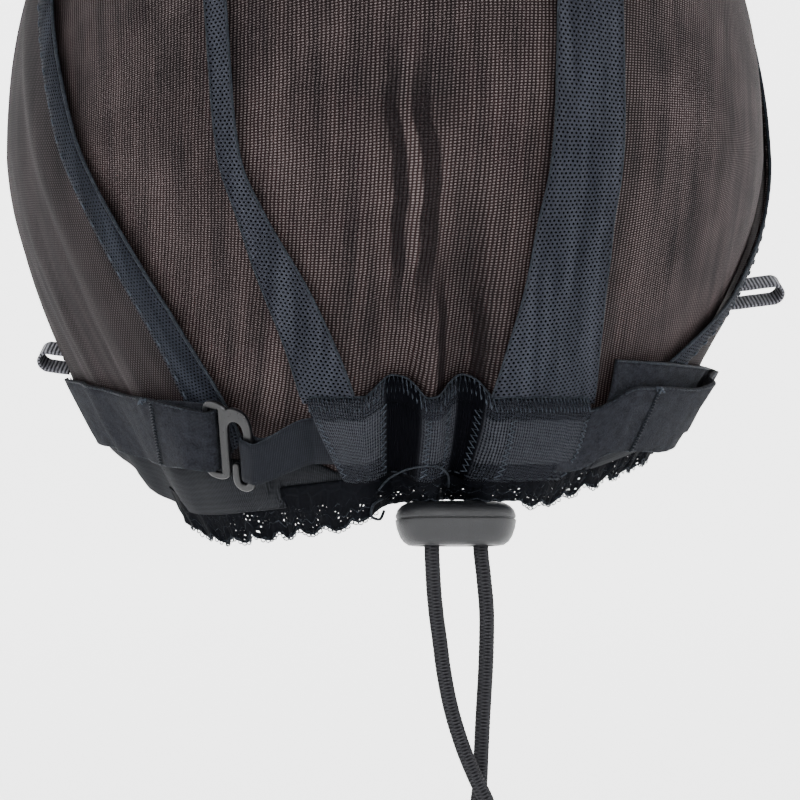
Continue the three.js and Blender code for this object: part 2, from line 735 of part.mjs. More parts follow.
function hookShape() {
  const shape = new THREE.Shape();
  const jawX = legOuter - hookJawRadius;
  const jawY = -hookTop + hookJawRadius;
  const innerRadius = hookJawRadius - hookLeg + 0.35;
  const tipX = jawX - hookJawRadius;
  const tipY = -hookTop + hookTipRise - hookLeg / 2;
  shape.moveTo(frameLeft, slotLow + 0.5);
  shape.lineTo(frameLeft, slotHigh - 0.6);
  shape.quadraticCurveTo(frameLeft + 0.1, hookTop - 0.1, (frameLeft + middleLeft) / 2 + 0.4, hookTop);
  shape.quadraticCurveTo(middleLeft + 0.6, hookTop, middleRight, hookTop - 1.2);
  shape.quadraticCurveTo(middleRight + 1.3, hookTop - 0.3, legInner - 0.2, hookTop - 1.2);
  shape.quadraticCurveTo(legOuter - 0.1, hookTop - 2.3, legOuter, hookTop - 6);
  shape.lineTo(legOuter, jawY);
  shape.absarc(jawX, jawY, hookJawRadius, 0, -Math.PI, true);
  shape.lineTo(tipX, tipY);
  shape.absarc(tipX + hookLeg / 2 - 0.17, tipY, hookLeg / 2 - 0.17, Math.PI, 0, true);
  shape.lineTo(jawX - innerRadius, jawY);
  shape.absarc(jawX, jawY, innerRadius, Math.PI, 2 * Math.PI, false);
  shape.lineTo(legInner, hookTop - 6);
  shape.quadraticCurveTo(legInner, hookTop - 3.4, (legInner + middleRight) / 2, hookTop - 3.4);
  shape.quadraticCurveTo(middleRight, hookTop - 3.4, middleRight, hookTop - 6);
  shape.lineTo(middleRight, slotLow + 0.6);
  shape.quadraticCurveTo(middleRight - 0.3, slotLow - hookBar, middleLeft - 0.6, slotLow - hookBar);
  shape.quadraticCurveTo(frameLeft, slotLow - hookBar, frameLeft, slotLow + 0.5);
  const slot = new THREE.Path();
  slot.moveTo(slotLeft, slotLow);
  slot.lineTo(middleLeft, slotLow);
  slot.lineTo(middleLeft, slotHigh);
  slot.lineTo(slotLeft, slotHigh);
  slot.closePath();
  shape.holes.push(slot);
  return shape;
}

const hookEdge = 0.25;
const hookGeometry = new THREE.ExtrudeGeometry(hookShape(), {
  depth: hookThickness - 2 * hookEdge,
  bevelSize: hookEdge,
  bevelThickness: hookEdge,
  bevelOffset: -hookEdge,
  bevelSegments: 1,
  curveSegments: 4,
});
hookGeometry.translate(0, 0, -hookThickness / 2 + hookEdge);
const hookMesh = add("strap_hook", hookGeometry, finishes.hook);
const strapTurn = hookThickness / 2 + gap + strapWall / 2;
const layerStep = gap + strapWall;
const firstLayer = strapWall / 2;
const hookLift = firstLayer + strapTurn + 1.2;
const hookOut = outward(plainPoint(hookAzimuth, hookLevel));
const hookSide = new THREE.Vector3(0, 0, 1).cross(hookOut).normalize();
hookOut.applyAxisAngle(hookSide, radians(-hookLean));
hookSide.applyAxisAngle(hookOut, radians(-hookRoll));
const hookUp = hookOut.clone().cross(hookSide).normalize();
const hookPlace = headPoint(hookAzimuth, hookLevel, clear(hookAzimuth, hookLevel) + hookLift);
const hookFrame = new THREE.Matrix4().makeBasis(hookSide, hookUp, hookOut).setPosition(hookPlace);
hookMesh.applyMatrix4(hookFrame);

// A step of a tape at the hook: along the hook, its middle height, half width and the lift off
// the hook's plane
function atHook(x, y, half, lift) {
  return (side) => new THREE.Vector3(x, y + side * half, lift).applyMatrix4(hookFrame);
}

// A half turn round one of the hook's bars, which closes on the side given
function turn(x, y, half, reach, lift, side) {
  return steps(0, 180, 30).map((angle) => {
    const a = radians(angle);
    return atHook(x + side * reach * Math.sin(a), y, half, lift * Math.cos(a));
  });
}

// Left strap: from its anchor to the hook's slot, round the frame's bar and back under itself
const barX = slotLeft - hookBar / 2;
const slotMiddle = (slotLow + slotHigh) / 2;
const slotHalf = hookSlotHeight / 2 - gap;
const strapHalf = strapWidth / 2;
const strapAt = (azimuth) => levelAt(STRAP_LEFT, azimuth);
const onStrapLine = (azimuth, lift) => onCap(azimuth, strapAt(azimuth), strapHalf, lift);
const beforeTack = between(STRAP_LEFT[0].azimuth, strapTackLeft - 8);
add(
  "strap_left",
  tapeGeometry(
    [
      ...beforeTack.map((azimuth) => onStrapLine(azimuth, firstLayer)),
      onStrapLine(strapTackLeft - 4, firstLayer + 0.4),
      onStrapLine(strapTackLeft, firstLayer + layerStep + 0.2),
      atHook(barX - 4.5, slotMiddle, (slotHalf + strapHalf) / 2, strapTurn + 0.1),
      ...turn(barX, slotMiddle, slotHalf, hookBar / 2 + 0.4 + strapWall / 2, strapTurn, 1),
      atHook(barX - 3.5, slotMiddle, slotHalf, -strapTurn + 0.1),
      onCap(strapTackLeft + 1, strapAt(strapTackLeft), slotHalf, firstLayer + 0.15),
    ],
    strapWall,
  ),
  finishes.elastic,
);

// Right strap: from the casing's mouth, gaping over the side band, to its anchor
const rightHalf = strapHalf - 0.4;
const aboveBand = bandWall + gap + strapWall / 2 + 0.35;
const anchorRight = STRAP_RIGHT[STRAP_RIGHT.length - 1].azimuth;
const rightPath = between(bandStart + 2, anchorRight).map((azimuth) => {
  const low = aboveBand + along(STRAP_RIGHT, "azimuth", "low", azimuth);
  const high = aboveBand + along(STRAP_RIGHT, "azimuth", "high", azimuth);
  return onCap(azimuth, levelAt(STRAP_RIGHT, azimuth), rightHalf, low, high);
});
const inCasing = casingRoom / 2;
add(
  "strap_right",
  tapeGeometry(
    [
      onCap(tapeEnd + 1.5, casingTop - casingHeight / 2, rightHalf - 0.4, inCasing),
      onCap(casingEnd + 1.5, casingTop - casingHeight / 2 + 0.4, rightHalf - 0.3, inCasing),
      ...rightPath,
    ],
    strapWall,
  ),
  finishes.elastic,
);

// Nape tape: through the casing, then round the hook's open leg and back
const legX = legInner + hookLeg / 2;
const tapeHalf = tapeWidth / 2;
const tapeLevel = casingTop - casingHeight / 2;
const tapeTurn = hookThickness / 2 + gap + tapeWall / 2;
const tapeOnLeg = -1.8;
const inside = between(casingStart, tapeEnd).reverse();
add(
  "nape_tape",
  tapeGeometry(
    [
      ...inside.map((azimuth) => onCap(azimuth, tapeLevel, tapeHalf, inCasing)),
      onCap(casingStart - 2, tapeLevel - 0.7, tapeHalf, inCasing + 1.2),
      atHook(legX + 2.6, tapeOnLeg, tapeHalf, tapeTurn),
      ...turn(legX, tapeOnLeg, tapeHalf, hookLeg / 2 + 0.4 + tapeWall / 2, tapeTurn, -1),
      atHook(legX + 2.6, tapeOnLeg, tapeHalf, -tapeTurn + 0.1),
      onCap(casingStart - 2.4, tapeLevel - 0.7, tapeHalf, firstLayer - 0.1),
    ],
    tapeWall,
  ),
  finishes.tape,
);

// Lace: a scalloped, pierced strip below the hem, shallow beside the cord lock
const laceMiddle = 1.6;
const laceReach = (azimuth) => (azimuth - laceStart) / (laceEnd - laceStart);
function laceDepth(azimuth) {
  const scallop = Math.abs(Math.sin(Math.PI * laceScallops * laceReach(azimuth)));
  const ends = smooth((azimuth - laceStart) / 14) * smooth((laceEnd - azimuth) / 14);
  const beside = smooth((Math.abs(azimuth - 4.5) - 11) / 7);
  const deeper = 1 - smooth((azimuth + 30) / 50);
  return 1.3 + beside * (0.6 + ends * (0.4 + deeper + laceScallopDepth * scallop));
}
const lacePlace = (azimuth, share) => {
  const z = rimZ(azimuth) - gap - laceDepth(azimuth) * share;
  return headPoint(azimuth, z, laceMiddle);
};
const laceSteps = steps(laceStart, laceEnd, (laceEnd - laceStart) / (laceScallops * 3));
let lace = solid(
  sheetGeometry(2, laceSteps.length, (i, j, side) => {
    const azimuth = laceSteps[j];
    const out = outward(plainPoint(azimuth, rimZ(azimuth)));
    return lacePlace(azimuth, i ? 0 : 1).addScaledVector(out, (side - 0.5) * laceWall);
  }),
);
for (let i = 0; i < laceScallops; i += 1) {
  for (const shift of [0.3, 0.7]) {
    const azimuth = THREE.MathUtils.lerp(laceStart, laceEnd, (i + shift) / laceScallops);
    if (laceDepth(azimuth) < 3) continue;
    const middle = lacePlace(azimuth, 0.5);
    const out = outward(plainPoint(azimuth, rimZ(azimuth))).multiplyScalar(2);
    lace = lace.subtract(rod(middle.clone().sub(out), middle.clone().add(out), laceHole, 6));
  }
}
for (const mouth of [...mouths, ...belowMouths]) lace = lace.subtract(mouth);
add("lace_trim", geometryOf(lace), finishes.lace);

// Ribbon loops that stand out at the sides
function loopGeometry(length) {
  const half = loopGap / 2;
  const bend = length - half;
  const round = (angle) => [bend + half * Math.cos(radians(angle)), half * Math.sin(radians(angle))];
  const plan = [
    ...steps(-loopRoot, bend, 3).map((out) => [out, half]),
    ...steps(80, -80, 22).map(round),
    ...steps(bend, -loopRoot, 3).map((out) => [out, -half]),
  ];
  const flat = plan.map(([out, across]) => new THREE.Vector2(out, across));
  const section = [
    new THREE.Vector2(-loopWall / 2, -loopWidth / 2),
    new THREE.Vector2(loopWall / 2, -loopWidth / 2),
    new THREE.Vector2(loopWall / 2, loopWidth / 2),
    new THREE.Vector2(-loopWall / 2, loopWidth / 2),
  ];
  return barGeometry(flat.length, section, (i, c) => {
    const [before, after] = [flat[Math.max(i - 1, 0)], flat[Math.min(i + 1, flat.length - 1)]];
    const run = after.clone().sub(before).normalize();
    return new THREE.Vector3(flat[i].x - run.y * c.x, flat[i].y + run.x * c.x, c.y);
  });
}
const leftLoop = { azimuth: -97, rise: loopRiseLeft, length: loopLengthLeft, swing: -10, roll: 58 };
const rightLoop = { azimuth: 86, rise: loopRiseRight, length: loopLengthRight, swing: 4, roll: -58 };
const LOOPS = [
  { name: "ribbon_loop_left", ...leftLoop },
  { name: "ribbon_loop_right", ...rightLoop },
];
const loopCut = (azimuth, z) => lapOuter(azimuth, z) + gap;
const insideCap = solid(domeGeometry(meridians, () => -4, loopCut));
for (const loop of LOOPS) {
  const made = solid(loopGeometry(loop.length));
  const level = loop.rise - capHeight;
  const out = outward(plainPoint(loop.azimuth, level)).setZ(0.12).normalize();
  out.applyAxisAngle(new THREE.Vector3(0, 0, 1), radians(loop.swing));
  const up = new THREE.Vector3(0, 0, 1).addScaledVector(out, -out.z).normalize();
  up.applyAxisAngle(out, radians(loop.roll));
  const across = up.clone().cross(out);
  const root = headPoint(loop.azimuth, level, netWall);
  const basis = new THREE.Matrix4().makeBasis(out, across, up).setPosition(root);
  const placed = geometryOf(made).applyMatrix4(basis);
  add(loop.name, geometryOf(solid(placed).subtract(insideCap)), finishes.grosgrain);
}

// Cord lock: a rounded bean with two mouthed holes
function lockGeometry() {
  const shape = new THREE.Shape();
  const r = lockDepth / 2 - lockRound;
  const straight = lockWidth / 2 - lockRound - r;
  shape.absarc(straight, 0, r, -Math.PI / 2, Math.PI / 2);
  shape.absarc(-straight, 0, r, Math.PI / 2, (3 * Math.PI) / 2);
  const body = new THREE.ExtrudeGeometry(shape, {
    depth: lockHeight - 2 * lockRound,
    bevelSize: lockRound,
    bevelThickness: lockRound,
    bevelSegments: 4,
    curveSegments: 8,
  });
  return body.translate(0, 0, -lockHeight / 2 + lockRound);
}
let lock = solid(lockGeometry());
for (const side of [-1, 1]) {
  const x = (side * cordSpacing) / 2;
  const [below, above] = [-lockHeight, lockHeight].map((z) => new THREE.Vector3(x, 0, z));
  lock = lock.subtract(rod(below, above, boreDiameter));
  for (const end of [-1, 1]) {
    const mouth = new THREE.CylinderGeometry(lockMouth / 2, boreDiameter / 2, 1.6, 12);
    mouth.rotateX((end * Math.PI) / 2).translate(x, 0, end * (lockHeight / 2 - 0.75));
    lock = lock.subtract(solid(mouth));
  }
}
const lockMesh = add("cord_lock", geometryOf(lock), finishes.lock);
lockMesh.applyMatrix4(lockFrame);

// Drawcord strands and the knot that ends them
for (const strand of STRANDS) {
  add(strand.name, cordGeometry(strandPoints(strand), cordDiameter, 18), finishes.cord);
}
const knotProfile = [new THREE.Vector2(0, -knotHeight / 2)];
for (const angle of steps(-60, 60, 24)) {
  const [across, up] = [Math.cos(radians(angle)), Math.sin(radians(angle))];
  knotProfile.push(new THREE.Vector2(knotRadius * across, (knotHeight / 2) * up));
}
knotProfile.push(new THREE.Vector2(0, knotHeight / 2));
let knot = solid(new THREE.LatheGeometry(knotProfile, 12).rotateX(Math.PI / 2));
for (const [x, y] of [[-1.6, 0.3], [1.6, -0.3]]) {
  const end = new THREE.Vector3(x * 1.5, y, -knotHeight / 2 - tailLength);
  knot = knot.add(rod(new THREE.Vector3(x, y, -knotHeight / 4), end, cordDiameter));
}
const knotMesh = add("drawcord_knot", geometryOf(knot), finishes.cord);
knotMesh.position.copy(knotMiddle);

export default cap;
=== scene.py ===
"""Looks of a sheer black wig cap with ribs, a gathered nape casing, straps, lace and a drawcord.

Sizes are in millimetres until a mesh is made. +Z is up, the nape faces +Y and the forehead -Y.
An azimuth is an angle about Z from the nape, positive towards -X and negative towards +X.
"""

import logging
import math
from collections.abc import Callable, Sequence
from dataclasses import dataclass, field
from enum import Enum

import bmesh
import bpy
from mathutils import Matrix, Vector, noise

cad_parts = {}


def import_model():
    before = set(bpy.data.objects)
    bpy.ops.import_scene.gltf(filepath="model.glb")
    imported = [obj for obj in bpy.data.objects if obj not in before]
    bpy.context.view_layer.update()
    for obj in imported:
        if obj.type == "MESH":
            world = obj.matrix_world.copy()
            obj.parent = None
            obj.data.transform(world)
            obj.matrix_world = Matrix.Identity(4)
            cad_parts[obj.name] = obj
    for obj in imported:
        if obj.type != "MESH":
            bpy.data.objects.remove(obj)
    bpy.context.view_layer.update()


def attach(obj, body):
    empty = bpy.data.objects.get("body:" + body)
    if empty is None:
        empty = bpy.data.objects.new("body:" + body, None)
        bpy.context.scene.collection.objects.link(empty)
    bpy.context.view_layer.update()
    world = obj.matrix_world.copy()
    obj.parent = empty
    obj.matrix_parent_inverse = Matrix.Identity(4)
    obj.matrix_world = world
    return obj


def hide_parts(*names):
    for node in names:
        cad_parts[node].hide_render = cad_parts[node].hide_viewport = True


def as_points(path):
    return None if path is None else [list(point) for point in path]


LOG = logging.getLogger("wig_cap")
MM = 0.001
BODY = "root"
WEAVE = "weave"


class Hold(Enum):
    """How a sheet of cloth is held."""

    GATHERED = "gathered"
    STRETCHED = "stretched"


def blend(low: float, high: float, share: float) -> float:
    """Value between two others at a share of the way."""
    return low + (high - low) * share


def clamp(value: float, low: float = 0.0, high: float = 1.0) -> float:
    """Value held between two limits."""
    return max(low, min(high, value))


def smooth(value: float) -> float:
    """Smooth step from 0 to 1."""
    t = clamp(value)
    return t * t * (3 - 2 * t)


def steps(start: float, end: float, step: float) -> list[float]:
    """Even values from start to end, about a step apart."""
    count = max(1, round(abs(end - start) / step))
    return [blend(start, end, i / count) for i in range(count + 1)]


def azimuth_of(point: Vector) -> float:
    """Azimuth of a point in degrees."""
    return math.degrees(math.atan2(-point.x, point.y))


def hash_noise(x: float, y: float = 0.0, z: float = 0.0) -> float:
    """Smooth noise from about -1 to 1, the same in each run."""
    return noise.noise(Vector((x, y, z)))


class Profile:
    """A table's column over a rising key, joined smoothly between its rows."""

    def __init__(self, rows: Sequence[tuple[float, float]]) -> None:
        """Keeps the rows in rising order of their key.

        Args:
            rows: pairs of key and value.
        """
        self.rows = sorted(rows)

    def at(self, key: float) -> float:
        """Value at a key.

        Args:
            key: where to read the table.

        Returns:
            The smoothly joined value.
        """
        rows = self.rows
        last = len(rows) - 1
        key = clamp(key, rows[0][0], rows[last][0])
        i = 0
        while i < last - 1 and key > rows[i + 1][0]:
            i += 1
        before, low, high, after = (rows[int(clamp(k, 0, last))] for k in (i - 1, i, i + 1, i + 2))
        span = high[0] - low[0]
        t = (key - low[0]) / span

        def slope(p: tuple[float, float], q: tuple[float, float]) -> float:
            """Rise from one row to another over this span."""
            return 0.0 if q[0] == p[0] else (q[1] - p[1]) / (q[0] - p[0]) * span

        t2, t3 = t * t, t * t * t
        rise_in, rise_out = slope(before, high), slope(low, after)
        return (
            (2 * t3 - 3 * t2 + 1) * low[1]
            + (t3 - 2 * t2 + t) * rise_in
            + (3 * t2 - 2 * t3) * high[1]
            + (t3 - t2) * rise_out
        )


@dataclass(frozen=True)
class Fold:
    """A fold or dent of the cloth, running up from the hem.

    Depth is inwards, and reach is how far up it runs as a share of the nape's drop.
    """

    hem: float
    top: float
    width: float
    depth: float
    reach: float
    sharpness: float = 2.6

    def at(self, azimuth: float, up: float) -> float:
        """Depth at an azimuth and a share of the way up."""
        fade = 1 - smooth(up / self.reach)
        middle = blend(self.hem, self.top, clamp(up))
        return self.depth * fade * math.exp(-(abs((azimuth - middle) / self.width) ** self.sharpness))


MAIN_FOLDS = (
    Fold(-5.5, -7, 3.5, 4.6, 1.25),
    Fold(6.4, -0.4, 3.2, 4.8, 1.35),
    Fold(-14, -16, 5.5, -1.4, 0.9),
    Fold(0.2, -3, 2.0, -0.8, 1.1),
    Fold(17, 14, 9.0, -1.8, 0.9),
    Fold(-31, -34, 4.5, 1.2, 1.3),
    Fold(-62, -72, 5.0, 1.5, 1.2),
    Fold(-76, -86, 4.5, 1.4, 1.1),
    Fold(62, 72, 7.0, 1.3, 1.0),
)
NET_CREASES = (
    Fold(-10.5, -12.5, 0.9, 0.9, 0.95, 1.6),
    Fold(-8.2, -8.8, 0.8, 0.8, 1.3, 1.6),
    Fold(-3.2, -5.2, 0.8, 1.0, 1.35, 1.6),
    Fold(-1.2, -3.8, 0.7, 0.8, 0.9, 1.6),
    Fold(2.6, -1.6, 0.8, 1.1, 1.4, 1.6),
    Fold(7.6, 2.4, 0.9, 0.9, 1.2, 1.6),
    Fold(9.4, 5.6, 0.8, 0.7, 0.75, 1.6),
    Fold(-17, -19, 1.3, 0.7, 0.6, 1.6),
    Fold(30, 25, 1.6, 0.7, 0.7, 1.6),
    Fold(-34, -39, 1.4, 0.6, 0.9, 1.6),
    Fold(-45, -54, 1.8, 0.7, 0.9, 1.6),
    Fold(-55, -66, 1.6, 0.9, 1.2, 1.6),
    Fold(-69, -82, 1.6, 1.0, 1.25, 1.6),
    Fold(-82, -96, 1.8, 0.9, 1.1, 1.6),
    Fold(48, 44, 2.2, 0.6, 0.8, 1.6),
    Fold(74, 82, 2.4, 0.7, 1.0, 1.6),
)


@dataclass(frozen=True)
class HeadForm:
    """The form that the cap lies on, its lowest edge and its ear-to-ear seam."""

    half_breadth: float = 75
    back_reach: float = 85
    front_reach: float = 105
    crown_height: float = 85
    nape_drop: float = 65
    nape_tuck: float = 0.335
    nape_curve: float = 1.6
    squareness: float = 2.25
    folds: tuple[Fold, ...] = MAIN_FOLDS
    rim: Profile = Profile(
        [
            (-180, 0.4), (-152, 0.425), (-134, 0.56), (-120, 0.74), (-106, 0.86), (-92, 0.925), (-80, 0.965),
            (-66, 1.01), (-50, 1.028), (-34, 1.022), (-16, 1.008), (0, 0.993), (18, 0.992), (34, 0.967),
            (50, 0.942), (66, 0.935), (82, 0.915), (98, 0.886), (112, 0.82), (124, 0.7), (136, 0.54),
            (152, 0.425), (180, 0.4),
        ]
    )
    seam_left: Profile = Profile(
        [
            (1.1, 0.53), (0.98, 0.58), (0.88, 0.64), (0.82, 0.66), (0.76, 0.66), (0.68, 0.64), (0.59, 0.59),
            (0.46, 0.49), (0.32, 0.35), (0.18, 0.19), (0.06, 0.04), (-0.1, -0.06),
        ]
    )
    seam_right: Profile = Profile(
        [
            (1.1, 0.52), (0.98, 0.57), (0.88, 0.62), (0.82, 0.56), (0.76, 0.44), (0.68, 0.3), (0.59, 0.19),
            (0.46, 0.1), (0.32, 0.03), (0.18, -0.02), (0.06, -0.05), (-0.1, -0.06),
        ]
    )

    @property
    def cap_height(self) -> float:
        """Height from the nape's lowest edge to the crown."""
        return self.crown_height + self.nape_drop

    @property
    def centre(self) -> float:
        """Height of the widest level."""
        return -self.crown_height

    def rim_z(self, azimuth: float) -> float:
        """Height of the lowest edge of the net."""
        wrapped = (azimuth + 180) % 360 - 180
        return -self.cap_height * self.rim.at(wrapped)

    def fold_depth(self, azimuth: float, z: float, folds: Sequence[Fold] | None = None) -> float:
        """How deep the cloth is folded inwards at a place."""
        up = (z + self.cap_height) / self.nape_drop
        return sum(fold.at(azimuth, up) for fold in (self.folds if folds is None else folds))

    def section_share(self, z: float) -> float:
        """Size of the level section at a height, as a share of the widest."""
        above = z - self.centre
        if above <= 0:
            return 1 - self.nape_tuck * (-above / self.nape_drop) ** self.nape_curve
        return max(0.0, 1 - (above / self.crown_height) ** self.squareness) ** (1 / self.squareness)

    def outward(self, point: Vector) -> Vector:
        """Outward direction of the plain form at a point on it."""
        reach = self.back_reach if point.y >= 0 else self.front_reach
        above = point.z - self.centre
        q = max(math.hypot(point.x / self.half_breadth, point.y / reach), 1e-6)
        level = Vector((point.x / self.half_breadth**2, point.y / reach**2, 0)) / q
        if above <= 0:
            bend = self.nape_curve * self.nape_tuck / self.nape_drop
            level.z = -bend * (-above / self.nape_drop) ** (self.nape_curve - 1)
            return level.normalized()
        level *= q ** (self.squareness - 1)
        level.z = above ** (self.squareness - 1) / self.crown_height**self.squareness
        return level.normalized()

    def lifted(self, point: Vector, lift: float, dented: bool = True) -> Vector:
        """A point of the plain form, moved out by a lift and in by the folds."""
        azimuth = azimuth_of(point)
        out = self.outward(point)
        if point.z < self.centre:
            out.z = 0
            out /= out.length_squared
        depth = self.fold_depth(azimuth, point.z) if dented else 0.0
        return point + out * (lift - depth)

    def plain(self, azimuth: float, z: float) -> Vector:
        """A point of the plain form."""
        angle = math.radians(azimuth)
        reach = self.back_reach if math.cos(angle) >= 0 else self.front_reach
        unit = math.hypot(math.sin(angle) / self.half_breadth, math.cos(angle) / reach)
        radius = self.section_share(z) / unit
        return Vector((-radius * math.sin(angle), radius * math.cos(angle), z))

    def place(self, azimuth: float, z: float, lift: float) -> Vector:
        """A point on the cap at an azimuth and a height, moved out by a lift."""
        return self.lifted(self.plain(azimuth, z), lift)

    def over_crown(self, side: float, rise: float, lift: float) -> Vector:
        """A point given by its angle from the middle plane and its rise from the nape over the crown."""
        s, r = math.radians(side), math.radians(rise)
        ray = Vector((math.sin(s), math.cos(s) * math.cos(r), math.cos(s) * math.sin(r)))
        return self.lifted(self.meet(ray), lift)

    def meet(self, ray: Vector) -> Vector:
        """Where a ray from the middle of the widest level meets the plain form."""
        reach = self.back_reach if ray.y >= 0 else self.front_reach
        q = max(math.hypot(ray.x / self.half_breadth, ray.y / reach), 1e-6)
        if ray.z > 0:
            power = self.squareness
            far = (q**power + (ray.z / self.crown_height) ** power) ** (-1 / power)
        else:
            near, far, beyond = 0.0, 1 / q, 2 / q
            for _ in range(36):
                if q * far > self.section_share(self.centre + ray.z * far):
                    beyond = far
                else:
                    near = far
                far = (near + beyond) / 2
        return ray * far + Vector((0, 0, self.centre))

    def seam_y(self, x: float, z: float) -> float:
        """How far behind the crown the ear-to-ear seam lies, at a side and a height."""
        drop = -z / self.cap_height
        share = clamp(x / (self.half_breadth * 1.2) + 0.5)
        return self.back_reach * blend(self.seam_right.at(drop), self.seam_left.at(drop), share)

    def ahead(self, azimuth: float, z: float) -> float:
        """How far in front of the seam a place lies."""
        point = self.plain(azimuth, z)
        return self.seam_y(point.x, point.z) - point.y


HEAD = HeadForm()
NET_WALL = 1.0
GAP = 0.5
ON_NET = NET_WALL + GAP
LAP_WIDTH = 6.0


def lap_lift(azimuth: float, z: float) -> float:
    """How far the front panel is lifted where it laps over the back panel."""
    return (ON_NET + 0.1) * (1 - smooth((HEAD.ahead(azimuth, z) - LAP_WIDTH - 8) / 9))


def clear(azimuth: float, z: float) -> float:
    """Lift that clears the panels anywhere."""
    return ON_NET + lap_lift(azimuth, z) * smooth((HEAD.ahead(azimuth, z) + 9) / 5.5)


class Value:
    """A number in a material, which adds Math nodes as it is worked with."""

    def __init__(self, board: "Board", socket: bpy.types.NodeSocket) -> None:
        """Wraps a socket of a board."""
        self.board = board
        self.socket = socket

    def _math(self, operation: str, *others: "Value | float", flip: bool = False) -> "Value":
        """Adds a Math node.

        Args:
            operation: the Math node's operation.
            others: further values of the operation.
            flip: whether this value comes second.

        Returns:
            The result.
        """
        terms: list[Value | float] = [self, *others]
        if flip:
            terms.reverse()
        made = self.board.node("ShaderNodeMath", {"operation": operation}, dict(enumerate(terms)))
        return Value(self.board, made.outputs[0])

    def __add__(self, other: "Value | float") -> "Value":
        """Sum."""
        return self._math("ADD", other)

    __radd__ = __add__

    def __sub__(self, other: "Value | float") -> "Value":
        """Difference."""
        return self._math("SUBTRACT", other)

    def __rsub__(self, other: "Value | float") -> "Value":
        """Difference the other way."""
        return self._math("SUBTRACT", other, flip=True)

    def __mul__(self, other: "Value | float") -> "Value":
        """Product."""
        return self._math("MULTIPLY", other)

    __rmul__ = __mul__

    def __truediv__(self, other: "Value | float") -> "Value":
        """Quotient."""
        return self._math("DIVIDE", other)

    def __pow__(self, other: "Value | float") -> "Value":
        """Power."""
        return self._math("POWER", other)

    def __abs__(self) -> "Value":
        """Size without sign."""
        return self._math("ABSOLUTE")

    def sine(self) -> "Value":
        """Sine."""
        return self._math("SINE")

    def fraction(self) -> "Value":
        """Part after the point."""
        return self._math("FRACT")

    def floor(self) -> "Value":
        """Whole part."""
        return self._math("FLOOR")

    def largest(self, other: "Value | float") -> "Value":
        """The larger of two."""
        return self._math("MAXIMUM", other)

    def smallest(self, other: "Value | float") -> "Value":
        """The smaller of two."""
        return self._math("MINIMUM", other)

    def step(self, low: float, high: float) -> "Value":
        """Smooth step from 0 at low to 1 at high."""
        made = self.board.node(
            "ShaderNodeMapRange",
            {"interpolation_type": "SMOOTHSTEP"},
            {"Value": self, "From Min": low, "From Max": high, "To Min": 0.0, "To Max": 1.0},
        )
        return Value(self.board, made.outputs["Result"])


Colour = tuple[float, float, float]


